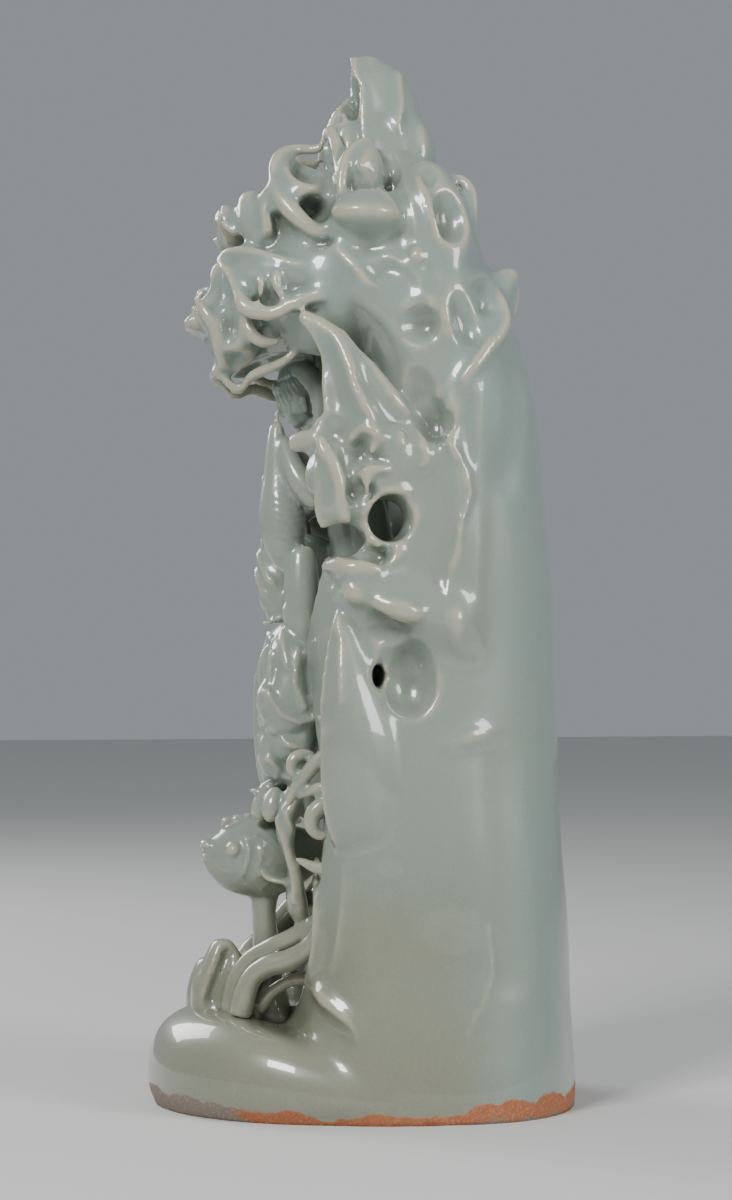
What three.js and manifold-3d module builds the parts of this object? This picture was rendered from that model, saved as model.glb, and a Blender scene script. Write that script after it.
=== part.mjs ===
// A celadon rockwork grotto with a seated Guanyin, fired as one piece.
// Millimetres, +Z up, the figure faces -Y, origin under the middle of the foot.
import * as THREE from 'three';
import { mergeVertices } from 'three/addons/utils/BufferGeometryUtils.js';
import Module from 'manifold-3d';

const wasm = await Module();
wasm.setup();

// Driving dimensions
const peakHeight = 453;        // foot to the tip of the peak
const footHalfWidth = 84;      // foot, side to side
const footReach = 92;          // foot, forwards and backwards of the origin
const footRecess = 3;          // shallow recess inside the foot ring
const footRing = 11;           // width of the foot ring
const moundHeight = 43;        // rounded base in front of the rock
const seatTop = 210;           // rock seat under the figure
const headCentre = [0, -27, 303];
const headRadius = 10.5;
const fishCentre = [6, -50, 106];
const farDrop = 12;            // the far pillar is this much lower than the near one
const farBack = 5;             // and this much further back

// Helpers

const mix = (a, b, t) => a + (b - a) * t;

// Eases from 0 at `from` to 1 at `to`, whichever of them is the larger.
function ease(from, to, value) {
  const t = Math.min(1, Math.max(0, (value - from) / (to - from)));
  return t * t * (3 - 2 * t);
}

// A value read smoothly from an evenly spaced list, t from 0 to 1.
function along(list, t) {
  const place = Math.min(1, Math.max(0, t)) * (list.length - 1);
  const i = Math.min(list.length - 2, Math.floor(place));
  return mix(list[i], list[i + 1], ease(0, 1, place - i));
}

// Presses a cosine or sine towards a diamond (power 1), a circle (2) or a box (4).
const squared = (value, power) => Math.sign(value) * Math.abs(value) ** (2 / power);

function merge(geometry) {
  geometry.deleteAttribute('normal');
  geometry.deleteAttribute('uv');
  return mergeVertices(geometry, 1e-4);
}

function solid(geometry) {
  const merged = merge(geometry);
  const vertProperties = new Float32Array(merged.attributes.position.array);
  const triVerts = new Uint32Array(merged.index.array);
  return new wasm.Manifold(new wasm.Mesh({ numProp: 3, vertProperties, triVerts }));
}

const joined = (solids) => solids.reduce((sum, each) => sum.add(each));

// Moves a surface along its own normals near each stroke: a chain of points, how far the
// stroke reaches and how much it raises the surface. A negative rise presses a hollow.
function sculpt(geometry, strokes) {
  const merged = merge(geometry);
  merged.computeVertexNormals();
  const { position, normal } = merged.attributes;
  const point = new THREE.Vector3();
  const nearest = new THREE.Vector3();
  const outward = new THREE.Vector3();
  const span = new THREE.Line3();
  for (let i = 0; i < position.count; i += 1) {
    point.fromBufferAttribute(position, i);
    let move = 0;
    for (const { path, reach, rise } of strokes) {
      let gap = Infinity;
      for (let k = 1; k < path.length; k += 1) {
        span.start.set(...path[k - 1]);
        span.end.set(...path[k]);
        span.closestPointToPoint(point, true, nearest);
        gap = Math.min(gap, nearest.distanceTo(point));
      }
      move += rise * ease(reach, 0, gap);
    }
    point.addScaledVector(outward.fromBufferAttribute(normal, i), move);
    position.setXYZ(i, point.x, point.y, point.z);
  }
  merged.deleteAttribute('normal');
  return merged;
}

// Presses a hollow round each centre and leaves crests between them, as pinched clay rock has.
function pinch(geometry, hollows, { depth = 5, crest = 4, knob = 3, width = 8, wander = 3 } = {}) {
  const merged = merge(geometry);
  merged.computeVertexNormals();
  const { position, normal } = merged.attributes;
  const point = new THREE.Vector3();
  const strayed = new THREE.Vector3();
  const outward = new THREE.Vector3();
  const centres = hollows.map((c) => new THREE.Vector3(...c));
  for (let i = 0; i < position.count; i += 1) {
    point.fromBufferAttribute(position, i);
    strayed.set(Math.sin(point.z / 9), Math.sin(point.x / 8), Math.sin(point.y / 7)).multiplyScalar(wander).add(point);
    const gaps = centres.map((c) => c.distanceTo(strayed)).sort((a, b) => a - b);
    const edge = ease(width, 0, gaps[1] - gaps[0]);
    const corner = ease(width, 0, gaps[2] - gaps[0]);
    const move = crest * edge - depth * (1 - edge) + knob * corner;
    point.addScaledVector(outward.fromBufferAttribute(normal, i), move);
    position.setXYZ(i, point.x, point.y, point.z);
  }
  merged.deleteAttribute('normal');
  return merged;
}

// A closed form drawn along a spine of points. `across` holds its half sizes along `side`
// and `deep` its half sizes at right angles to that, both evenly spaced from first to last.
function form(spine, across, deep, options = {}) {
  const { side = [1, 0, 0], sides = 7, rings = 5, blunt = 0.55, power = 2, turn = 0 } = options;
  const curve = new THREE.CatmullRomCurve3(spine.map((p) => new THREE.Vector3(...p)), false, 'centripetal');
  const geometry = new THREE.SphereGeometry(1, sides, rings);
  const position = geometry.attributes.position;
  const sideways = new THREE.Vector3(...side);
  const point = new THREE.Vector3();
  const tangent = new THREE.Vector3();
  const u = new THREE.Vector3();
  const v = new THREE.Vector3();
  for (let i = 0; i < position.count; i += 1) {
    const [x, y, z] = [position.getX(i), position.getY(i), position.getZ(i)];
    const t = Math.min(1, Math.max(0, (1 - y) / 2));
    const atPole = Math.abs(y) > 0.99999;
    const ring = atPole ? 0 : Math.sqrt(1 - y * y) ** blunt;
    const angle = Math.atan2(z, x) + turn * t;
    curve.getPoint(t, point);
    curve.getTangent(t, tangent);
    u.copy(sideways).addScaledVector(tangent, -sideways.dot(tangent)).normalize();
    v.crossVectors(tangent, u);
    point.addScaledVector(u, ring * along(across, t) * squared(Math.cos(angle), power));
    point.addScaledVector(v, ring * along(deep, t) * squared(Math.sin(angle), power));
    position.setXYZ(i, point.x, point.y, point.z);
  }
  return solid(geometry);
}

// A rounded lump, its half sizes along X, Y and Z before it turns about X, Y and Z in degrees.
function lumpGeometry(centre, radii, turn = [0, 0, 0], detail = 1) {
  const geometry = new THREE.IcosahedronGeometry(1, detail);
  geometry.scale(...radii);
  geometry.rotateX(THREE.MathUtils.degToRad(turn[0]));
  geometry.rotateY(THREE.MathUtils.degToRad(turn[1]));
  geometry.rotateZ(THREE.MathUtils.degToRad(turn[2]));
  geometry.translate(...centre);
  return geometry;
}

const lump = (...shape) => solid(lumpGeometry(...shape));

const near = (points) => points;
const far = (points) => points.map(([x, y, z]) => [-x, y + farBack, z - farDrop]);

// Rock

// The upright rock wall as stations: height, back, front and half width.
const wallStations = [
  [0, 92, -38, 83],
  [14, 92, -38, 84],
  [45, 90, -32, 79],
  [110, 87, -28, 73],
  [175, 83.5, -27, 68],
  [235, 82, -27, 65],
  [265, 79.5, -20, 64],
  [296, 75.5, 2, 63],
  [325, 69, -2, 60],
  [352, 58, -26, 54],
  [380, 47, -32, 43],
  [400, 36, -20, 27],
  [411, 30, -6, 15],
];

// The wall's plan is rounded behind and has square corners in front, beside the niche.
const backSquareness = 2.3;
const frontSquareness = 4;

// Folds, seams, ledges and hollows on one side of the wall.
function wallRelief(place) {
  return [
    { path: place([[28, 22, 408], [42, 30, 372], [55, 30, 336]]), reach: 15, rise: 5 },
    { path: place([[34, -12, 384], [50, 8, 356], [58, 20, 334]]), reach: 13, rise: 6 },
    { path: place([[38, 8, 384], [52, 20, 352]]), reach: 10, rise: -5 },
    { path: place([[44, 52, 338], [56, 38, 312], [62, 33, 286], [64, 34, 240], [66, 34, 200]]), reach: 13, rise: 4.5 },
    { path: place([[48, 56, 318], [56, 52, 270]]), reach: 13, rise: -3 },
    { path: place([[64, -24, 228], [67, 0, 218], [64, 26, 208]]), reach: 17, rise: 8 },
    { path: place([[68, 20, 140], [72, 24, 90]]), reach: 26, rise: 1.5 },
    { path: place([[66, 50, 150], [70, 52, 60]]), reach: 12, rise: -1.5 },
    { path: place([[70, -16, 60], [78, -2, 28]]), reach: 12, rise: 3 },
  ];
}

// The deep recess in the wall behind the low pinnacle of one side.
function recess(place) {
  return form(place([[72, -2, 206], [76, 8, 190], [78, 17, 164]]), [14, 19, 17], [11, 16, 13]);
}

function wall() {
  const curve = (column) => new THREE.SplineCurve(wallStations.map((s, i) => new THREE.Vector2(i, s[column])));
  const [heightAt, backAt, frontAt, widthAt] = [0, 1, 2, 3].map(curve);
  const geometry = new THREE.CylinderGeometry(1, 1, 1, 24, 15, false);
  const position = geometry.attributes.position;
  for (let i = 0; i < position.count; i += 1) {
    const t = position.getY(i) + 0.5;
    const back = backAt.getPoint(t).y;
    const front = frontAt.getPoint(t).y;
    const power = position.getZ(i) > 0 ? frontSquareness : backSquareness;
    const x = squared(position.getX(i), power) * widthAt.getPoint(t).y;
    const y = (back + front) / 2 - squared(position.getZ(i), power) * (back - front) / 2;
    position.setXYZ(i, x, y, heightAt.getPoint(t).y);
  }
  return solid(sculpt(geometry, [...wallRelief(near), ...wallRelief(far)]));
}

// The rounded base, highest in front and sinking into the wall behind.
function mound() {
  const profile = [[0, 0], [0.955, 0], [0.985, 0.1], [1, 0.32], [0.985, 0.56], [0.92, 0.8], [0.76, 0.96], [0, 1]];
  const geometry = new THREE.LatheGeometry(profile.map(([r, h]) => new THREE.Vector2(r, h)), 22);
  geometry.rotateX(Math.PI / 2);
  const position = geometry.attributes.position;
  for (let i = 0; i < position.count; i += 1) {
    const across = position.getX(i);
    const ahead = -position.getY(i);
    const y = ahead > 0 ? -ahead * footReach : -ahead * footReach * 0.5;
    const tuck = mix(1, 0.9, ease(0, 30, y));
    const fall = mix(1, 0.55, ease(-70, 8, y));
    const lobes = 1 + 0.05 * Math.cos(3 * Math.atan2(across, ahead)) * ease(0.3, 1, ahead);
    position.setXYZ(i, across * footHalfWidth * tuck, y, position.getZ(i) * moundHeight * fall * lobes);
  }
  return solid(geometry);
}

function footHollow() {
  const geometry = new THREE.CylinderGeometry(1, 1, footRecess * 2, 24);
  geometry.rotateX(Math.PI / 2);
  geometry.scale(footHalfWidth - footRing - 1, footReach - footRing - 3, 1);
  return solid(geometry);
}

// The grotto behind the figure and the shallow niche under the seat.
function caveHollow() {
  return joined([
    form(
      [[0, -14, seatTop - 6], [0, -12, 250], [0, -14, 295], [0, -22, 332]],
      [44, 51, 50, 36],
      [40, 52, 50, 32],
      { sides: 10, rings: 6, blunt: 0.4, power: 2.4 },
    ),
    form(
      [[0, -44, 46], [0, -36, 90], [0, -34, 140], [0, -38, 184]],
      [44, 50, 47, 40],
      [30, 30, 29, 24],
      { sides: 9, rings: 5, blunt: 0.4, power: 2.6 },
    ),
  ]);
}

function peak() {
  return joined([
    form(
      [[0, 8, 372], [0, 8, 402], [0, 9, 430], [0, 2, peakHeight + 2]],
      [36, 26, 17, 8],
      [32, 21, 17, 8],
      { sides: 9, rings: 7, blunt: 0.6, power: 1.8 },
    ),
    form([[12, -6, 400], [10, -8, 425], [4, -5, 448]], [10, 8, 4], [5, 5, 3], { power: 1.3 }),
    form([[-12, -4, 396], [-12, -6, 414], [-8, -4, 432]], [9, 8, 4], [6, 5, 3], { power: 1.3 }),
    lump([2, 21, 412], [20, 13, 20], [12, 0, 0]),
  ]);
}

// Hollows on the near side of the canopy; the far side repeats them lower and further back.
const canopyHollows = [
  [54, -52, 354],
  [58, -28, 350],
  [44, -64, 328],
  [24, -76, 342],
  [36, -58, 372],
  [46, -40, 322],
  [50, -16, 376],
  [52, -4, 340],
];

const frontHollows = [
  [0, -78, 352],
  [4, -72, 326],
  [-2, -62, 376],
  [-4, -40, 402],
  [30, -30, 402],
  [0, -8, 416],
  [0, -50, 306],
];

// The overhanging rock above the figure.
function canopy() {
  const hollows = [...canopyHollows, ...far(canopyHollows), ...frontHollows];
  const body = sculpt(lumpGeometry([0, -20, 356], [50, 46, 44], [0, 0, 0], 5), [
    { path: [[-24, -62, 328], [26, -64, 326]], reach: 30, rise: 7 },
    { path: [[6, -70, 352], [20, -68, 350]], reach: 24, rise: 4 },
    { path: [[12, -52, 388], [16, -32, 404]], reach: 20, rise: 7 },
    { path: [[-22, -34, 396], [-26, -20, 400]], reach: 20, rise: 5 },
    { path: [[-40, -44, 366], [-46, -20, 372]], reach: 22, rise: 4 },
  ]);
  const boxKnob = form(
    [[26, -1, 386], [36, -2, 381], [45, -3, 376]],
    [9, 12, 9],
    [11, 14, 11],
    { side: [0, 0, 1], sides: 8, blunt: 0.35, power: 3.4 },
  );
  const knob = (x, y, z, rise, size, out) => form(
    [[x, y, z], [x, y - out, z + rise * 0.6], [x, y - out * 1.2, z + rise]],
    [size * 1.3, size, size],
    [size * 1.2, size * 0.9, size],
    { sides: 6, blunt: 0.45 },
  );
  const knobs = [
    knob(10, -56, 362, 23, 5.5, 7),
    knob(14, -42, 376, 19, 7.5, 7),
    knob(-17, -53, 362, 16, 6, 6),
  ];
  const cup = lump([32, -24, 400], [15, 10, 18], [0, -16, 0]);
  const brow = lump([0, -12, 293], [54, 36, 33], [-14, 0, 0]);
  return solid(pinch(body, hollows, { depth: 4, crest: 4, knob: 4, width: 13 }))
    .subtract(joined([cup, brow]))
    .add(joined([boxKnob, ...knobs]));
}

// Rolled flanges where the canopy meets the smooth back.
function flanges() {
  const high = [[26, 34, 356], [26, 44, 374], [21, 44, 392], [14, 36, 405]];
  const low = [[34, 56, 320], [34, 62, 338], [31, 62, 352], [25, 58, 362]];
  return joined([
    form(high, [12, 15, 14, 8], [9, 7, 6, 4], { turn: 0.5 }),
    form(low, [12, 14, 12, 7], [10, 8, 6, 4]),
    form(far(high), [12, 15, 14, 8], [9, 7, 6, 4], { turn: -0.4 }),
    form(far(low), [12, 14, 12, 7], [10, 8, 6, 4]),
  ]);
}

// One side of the grotto's mouth: a tall pinnacle on its rock mass, a hanging tongue, the crest
// of the ledge, and the lower pinnacle that rises from the wall's front corner.
function pillar(place, detail) {
  const tall = [[58, -2, 256], [59, -4, 282], [57, -9, 301], [51, -19, 320], [45, -32, 338]];
  const tongue = [[56, -22, 282], [61, -20, 262], [61, -16, 241]];
  const joint = [[50, -20, 282], [46, -32, 288], [42, -40, 289]];
  const crest = [[58, -20, 226], [66, -4, 217], [66, 16, 207]];
  const [middle] = place([[54, -8, 271]]);
  const mass = lumpGeometry(middle, [14, 30, 21], [8, 0, 0], detail);
  const low = [[52, -4, 108], [57, -4, 140], [60, -10, 170], [60, -17, 196], [57, -17, 215]];
  return joined([
    form(place(tall), [14, 11, 8, 5, 2], [24, 22, 15, 7, 2.5], { sides: 8, rings: 7, power: 1.25 }),
    solid(pinch(mass, place(massHollows), { depth: 3, crest: 3, knob: 3, width: 11 })),
    form(place(tongue), [9, 8, 5], [12, 10, 7], { power: 2.4 }),
    form(place(joint), [8, 7, 5], [8, 7, 6], { side: [0, 0, 1] }),
    form(place(crest), [4, 5, 2], [4, 4, 2], { side: [0, 0, 1], sides: 6 }),
    form(place(low), [20, 17, 11, 7, 3], [32, 27, 16, 8, 3.5], { sides: 8, rings: 7, power: 1.5 }),
  ]);
}

const massHollows = [
  [70, -28, 282],
  [74, -12, 290],
  [76, -6, 268],
  [74, -24, 262],
  [72, 14, 282],
  [74, 12, 258],
  [50, -44, 276],
];

function pillarHollows(place) {
  const window = [[30, -10, 240], [60, -14, 239], [90, -18, 238]];
  const pocket = [[34, 2, 251], [62, 5, 252], [88, 8, 252]];
  const slit = [[40, 2, 190], [64, 4, 184], [88, 4, 182]];
  return joined([
    form(place(window), [8, 8, 10], [14, 13, 16], { side: [0, 0, 1], blunt: 0.3 }),
    form(place(pocket), [9, 10, 13], [8, 10, 13], { side: [0, 0, 1], blunt: 0.3 }),
    form(place(slit), [10, 10, 14], [5, 5, 8], { side: [0, 0, 1], blunt: 0.4 }),
  ]);
}

// The rock seat and the broken rock face under it.
function seat() {
  const block = form(
    [[0, 4, 176], [0, 2, 194], [0, 0, 213]],
    [40, 48, 42],
    [30, 36, 30],
    { sides: 10, blunt: 0.4, power: 2.8 },
  );
  const hollows = [];
  for (let row = 0; row < 5; row += 1) {
    for (let column = -1; column <= 1; column += 1) {
      hollows.push([column * 30 + (row % 2) * 14, -30, 60 + row * 30]);
    }
  }
  const face = lumpGeometry([0, 4, 124], [48, 24, 82], [0, 0, 0], 3);
  return block.add(solid(pinch(face, hollows, { depth: 3, crest: 4, knob: 3, width: 14 })));
}

// Figure

function torso() {
  const trunk = [[0, 4, 200], [0, 3, 234], [0, -4, 260], [0, -12, 286]];
  const neck = [[0, -10, 280], [0, -15, 289], [0, -21, 298]];
  return joined([
    form(trunk, [30, 23, 22, 22, 20], [22, 16, 14, 12, 9], { sides: 10, rings: 6, blunt: 0.5 }),
    form(neck, [6.5, 5.5, 5.5], [6.5, 5.5, 5.5], { rings: 4 }),
  ]);
}

// The head bows forward, its hair drawn up under a hood, with a thin strut to the rock above.
function head() {
  const [x, y, z] = headCentre;
  const r = headRadius;
  const bow = 30;
  const hood = [[x, y + 3, z - 12], [x, y + 7, z - 3], [x, y + 5, z + 7], [x, y - 3, z + 13]];
  return joined([
    lump([x, y, z - 1], [r * 0.8, r * 0.92, r * 1.12], [bow, 0, 0], 2),
    lump([x, y - r * 0.86, z - r * 0.42], [r * 0.14, r * 0.2, r * 0.26], [bow, 0, 0], 0),
    form(hood, [10, 12, 11, 6], [5, 7, 7, 4], { sides: 10, rings: 6 }),
    lump([x, y - 2, z + 12], [5, 5, 6], [bow, 0, 0]),
    form([[x, y + 4, z + 8], [x, y + 6, z + 20], [x, y + 7, z + 34]], [3, 2.2, 3], [3, 2.2, 3], { sides: 6, rings: 4 }),
  ]);
}

// Her left hand is raised before the chest, and its long open sleeve hangs from the wrist.
function leftArm() {
  const upper = [[18, -8, 278], [27, -15, 268], [28, -23, 258]];
  const fore = [[28, -21, 258], [24, -32, 270], [15, -38, 288]];
  const sleeve = [[14, -38, 294], [14, -38, 276], [16, -34, 252], [19, -29, 223]];
  const opening = [[26, -30, 268], [27, -31, 252], [27, -29, 234]];
  const drape = [[22, -27, 240], [24, -27, 214], [24, -27, 192]];
  const whole = joined([
    form(upper, [9, 9, 8], [9, 9, 8]),
    form(fore, [6, 5, 4], [6, 5, 4]),
    form(sleeve, [5, 6, 9, 5], [4, 5.5, 12, 5], { rings: 7, sides: 8, blunt: 0.45 }),
    form(drape, [8, 8, 4], [9, 8, 6]),
  ]);
  return whole.subtract(form(opening, [2, 4, 2], [4, 8, 5]));
}

// Her right hand rests on the raised knee.
function rightArm() {
  const upper = [[-18, -8, 278], [-28, -14, 266], [-32, -22, 255]];
  const fore = [[-32, -20, 256], [-29, -28, 254], [-24, -34, 251]];
  const hand = [[-25, -32, 251], [-23, -38, 248], [-21, -40, 239]];
  const fall = [[-31, -24, 254], [-34, -27, 236], [-34, -26, 214]];
  return joined([
    form(upper, [9, 9, 8], [9, 9, 8]),
    form(fore, [6, 7, 5], [6, 6, 4]),
    form(hand, [3, 3.5, 2], [3, 2.4, 1.8], { sides: 6 }),
    form(fall, [8, 9, 5], [7, 9, 6]),
  ]);
}

function legs() {
  const rightThigh = [[-12, 2, 218], [-20, -16, 234], [-25, -34, 243]];
  const rightShin = [[-25, -33, 245], [-22, -32, 228], [-17, -33, 207]];
  const rightFoot = [[-17, -24, 211], [-14, -30, 209], [-11, -35, 208]];
  const lap = [[-24, -14, 216], [0, -20, 214], [24, -16, 214]];
  const leftThigh = [[12, 0, 214], [18, -20, 206], [21, -34, 196]];
  const leftShin = [[22, -32, 200], [27, -32, 172], [25, -34, 140]];
  const leftFoot = [[22, -30, 142], [19, -39, 138], [17, -45, 135]];
  const lotus = [[19, -22, 127], [19, -46, 128]];
  const hem = [[10, -34, 206], [8, -42, 182], [6, -42, 158], [8, -40, 132]];
  return joined([
    form(rightThigh, [12, 12, 10], [12, 11, 9]),
    form(rightShin, [10, 10, 9], [9, 9, 8]),
    form(rightFoot, [5, 5, 3], [4, 4, 2.5], { sides: 6 }),
    form(lap, [11, 13, 11], [13, 14, 13], { side: [0, 0, 1] }),
    form(leftThigh, [12, 11, 9], [11, 10, 9]),
    form(leftShin, [11, 13, 9], [11, 13, 9], { rings: 6 }),
    form(leftFoot, [5, 5, 3], [5, 4, 2.5], { sides: 6 }),
    form(lotus, [13, 12], [6, 6]),
    form(hem, [10, 11, 10, 7], [4, 5, 5, 4], { rings: 6, turn: 0.6 }),
  ]);
}

// Water

function fish() {
  const [x, y, z] = fishCentre;
  const body = [[x, y - 18, z + 2], [x, y - 8, z + 1], [x, y + 6, z], [x, y + 22, z + 2], [x, y + 36, z + 6]];
  const eyes = [-1, 1].map((s) => lump([x + s * 10.5, y - 6, z + 4], [3, 3.6, 3.6], [0, 0, 0], 0));
  const dorsal = [[x, y - 8, z + 12], [x, y + 2, z + 16], [x, y + 14, z + 15]];
  const fin = (s) => [[x + s * 10, y + 4, z - 5], [x + s * 17, y + 10, z - 8], [x + s * 21, y + 17, z - 10]];
  const stem = [[x, y + 8, z - 12], [x, y + 8, 72], [x + 2, y + 10, 36]];
  return joined([
    form(body, [6, 12, 14, 12, 9], [8, 15, 16, 13, 10], { sides: 9, rings: 7 }),
    lump([x, y - 17, z + 5.5], [5, 3.4, 3.2]),
    lump([x, y - 16, z - 2], [5, 3.6, 3.4]),
    ...eyes,
    form(dorsal, [1.6, 1.8, 1.6], [2, 4, 3], { sides: 6 }),
    ...[-1, 1].map((s) => form(fin(s), [2, 2, 1.4], [4, 7, 5], { side: [0, 0, 1], sides: 6 })),
    form(stem, [6, 6.5, 9], [6, 6.5, 9]),
  ]);
}

// A curling tail beside the fish, seen edge on from the side.
function tail() {
  const spine = [[33, -30, 134], [31, -36, 120], [30, -34, 106], [31, -33, 94], [30, -31, 80]];
  return form(spine, [9, 7, 7, 9, 7], [5, 3.4, 3, 4.5, 4.5], { sides: 7, rings: 7, blunt: 0.4 });
}

function stems() {
  const outer = [[46, -20, 88], [43, -29, 74], [36, -42, 64], [29, -52, 52], [27, -56, 38]];
  const inner = [[34, -22, 80], [26, -38, 70], [19, -52, 61], [17, -58, 38]];
  const other = [[-46, -20, 84], [-38, -34, 70], [-30, -46, 60], [-26, -54, 38]];
  return joined([outer, inner, other].map((spine) => form(spine, [6, 4.8, 4.8, 6], [6, 4.8, 4.8, 6], { sides: 6, rings: 6, blunt: 0.3 })));
}

// Upright rounded slabs rising from the base, each with an off-centre groove.
function slabs() {
  const slab = (x, y, top, lean) => form(
    [[x, y + 3, 30], [x, y + lean * 0.4, mix(42, top, 0.5)], [x, y + lean, top]],
    [9, 9, 7],
    [14, 12, 9],
    { sides: 8, blunt: 0.4, power: 2.6 },
  );
  const groove = lump([14, -67, 56], [3, 3.5, 16]);
  return joined([slab(5, -63, 71, 2).subtract(groove), slab(-30, -62, 60, -2)]);
}

// Wave curls climbing the rock on both sides of the niche.
function curls() {
  const turns = [-1.2, 4.2];
  const steps = 4;
  const scroll = (x, y, z, size, hand) => {
    const points = [];
    for (let i = 0; i <= steps; i += 1) {
      const t = i / steps;
      const angle = mix(...turns, t);
      const reach = size * mix(1, 0.34, t);
      points.push([x + hand * 2 * t, y + reach * Math.cos(angle), z + reach * Math.sin(angle)]);
    }
    return form(points, [3.6, 4, 3.4, 2.8], [3.6, 4, 3.4, 2.6], { rings: 7, sides: 6 });
  };
  return joined([
    scroll(51, -21, 144, 11, 1),
    scroll(51, -22, 120, 12, 1),
    scroll(-49, -18, 122, 12, -1),
  ]);
}

function grotto() {
  const shell = wall()
    .subtract(joined([recess(near), recess(far)]))
    .add(joined([canopy(), peak(), flanges()]))
    .subtract(caveHollow());
  const rock = joined([shell, mound(), seat(), pillar(near, 3), pillar(far, 2)])
    .subtract(pillarHollows(near))
    .subtract(pillarHollows(far));
  const figure = joined([torso(), head(), leftArm(), rightArm(), legs()]);
  const water = joined([fish(), tail(), stems(), slabs(), curls()]);
  return joined([rock, figure, water]).subtract(footHollow());
}

function mesh(name, manifold, material) {
  const { numProp, vertProperties, triVerts } = manifold.getMesh();
  const geometry = new THREE.BufferGeometry();
  geometry.setAttribute('position', new THREE.BufferAttribute(new Float32Array(vertProperties), numProp));
  geometry.setIndex(new THREE.BufferAttribute(new Uint32Array(triVerts), 1));
  geometry.computeVertexNormals();
  const piece = new THREE.Mesh(geometry, material);
  piece.name = name;
  return piece;
}

const celadon = new THREE.MeshStandardMaterial({ color: 0x9aa597, roughness: 0.18, metalness: 0 });

const group = new THREE.Group();
group.add(mesh('guanyin_grotto', grotto(), celadon));

export default group;
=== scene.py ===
# Celadon grotto with a seated Guanyin, thick glossy glaze over one fired piece of stoneware.
import bpy
import bmesh
import math
import numpy as np
from mathutils import Matrix, Vector
from mathutils.bvhtree import BVHTree


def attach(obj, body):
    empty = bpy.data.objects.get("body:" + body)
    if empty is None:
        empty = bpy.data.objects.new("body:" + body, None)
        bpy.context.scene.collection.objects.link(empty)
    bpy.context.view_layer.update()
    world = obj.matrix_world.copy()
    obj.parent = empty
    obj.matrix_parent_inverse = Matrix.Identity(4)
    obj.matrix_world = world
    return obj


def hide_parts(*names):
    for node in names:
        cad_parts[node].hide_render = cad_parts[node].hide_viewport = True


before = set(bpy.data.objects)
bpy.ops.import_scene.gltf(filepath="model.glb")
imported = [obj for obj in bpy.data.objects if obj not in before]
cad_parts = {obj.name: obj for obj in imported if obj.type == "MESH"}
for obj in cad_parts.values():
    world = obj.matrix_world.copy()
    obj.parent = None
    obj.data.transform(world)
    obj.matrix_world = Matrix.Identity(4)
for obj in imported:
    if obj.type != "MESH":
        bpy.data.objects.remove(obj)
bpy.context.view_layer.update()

# The rock is shaped in millimetres and scaled to metres once, at the end.
metresPerMm = 0.001
lookTarget = (0, 2.6, 217)
lookDistance = 1550
lookAzimuth = math.radians(81)
eye = (
    lookTarget[0] + lookDistance * math.sin(lookAzimuth),
    lookTarget[1] - lookDistance * math.cos(lookAzimuth),
    lookTarget[2],
)
farBack = 5  # the far side of the rock stands this much further back
farDrop = 12  # and this much lower

# Numbers and curves


def ease(start, end, value):
    t = np.clip((value - start) / (end - start), 0, 1)
    return t * t * (3 - 2 * t)


def curveAt(points, t):  # a smooth curve through evenly spaced points, t from 0 to 1
    points = np.asarray(points, float).reshape(len(points), -1)
    last = len(points) - 1
    place = np.clip(t, 0, 1) * last
    i = np.minimum(place.astype(int), last - 1)
    f = (place - i)[:, None]
    a, b = points[np.maximum(i - 1, 0)], points[i]
    c, d = points[i + 1], points[np.minimum(i + 2, last)]
    return b + 0.5 * f * (c - a + f * (2 * a - 5 * b + 4 * c - d + f * (3 * (b - c) + d - a)))


def squared(value, power):  # 1 is a diamond, 2 a circle, 4 nearly a box
    return np.sign(value) * np.abs(value) ** (2 / power)


# Solids


def ball(moveTo, sides=40, rings=40):
    bm = bmesh.new()
    bmesh.ops.create_uvsphere(bm, u_segments=sides, v_segments=rings, radius=1)
    places = moveTo(np.array([v.co for v in bm.verts]))
    for vert, place in zip(bm.verts, places):
        vert.co = place
    bmesh.ops.recalc_face_normals(bm, faces=bm.faces)
    return bm


def form(spine, across, deep, side=(1, 0, 0), blunt=0.55, power=2, turn=0, sides=40, rings=40):
    def moveTo(unit):
        t = (1 - unit[:, 2]) / 2
        ring = np.sqrt(np.maximum(0, 1 - unit[:, 2] ** 2)) ** blunt
        angle = np.arctan2(unit[:, 1], unit[:, 0]) + turn * t
        middle = curveAt(spine, t)
        along = curveAt(spine, np.minimum(t + 0.01, 1)) - curveAt(spine, np.maximum(t - 0.01, 0))
        along /= np.linalg.norm(along, axis=1)[:, None]
        u = np.array(side, float) - along * (along @ np.array(side, float))[:, None]
        u /= np.linalg.norm(u, axis=1)[:, None]
        v = np.cross(along, u)
        wide = ring * curveAt(across, t)[:, 0] * squared(np.cos(angle), power)
        thick = ring * curveAt(deep, t)[:, 0] * squared(np.sin(angle), power)
        return middle + u * wide[:, None] + v * thick[:, None]
    return ball(moveTo, sides, rings)


def lump(centre, radii, turn=(0, 0, 0), detail=5):
    bm = bmesh.new()
    bmesh.ops.create_icosphere(bm, subdivisions=detail, radius=1)
    bmesh.ops.scale(bm, vec=radii, verts=bm.verts)
    for axis, angle in zip("XYZ", turn):
        bmesh.ops.rotate(bm, matrix=Matrix.Rotation(math.radians(angle), 3, axis), verts=bm.verts)
    bmesh.ops.translate(bm, vec=centre, verts=bm.verts)
    return bm


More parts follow.
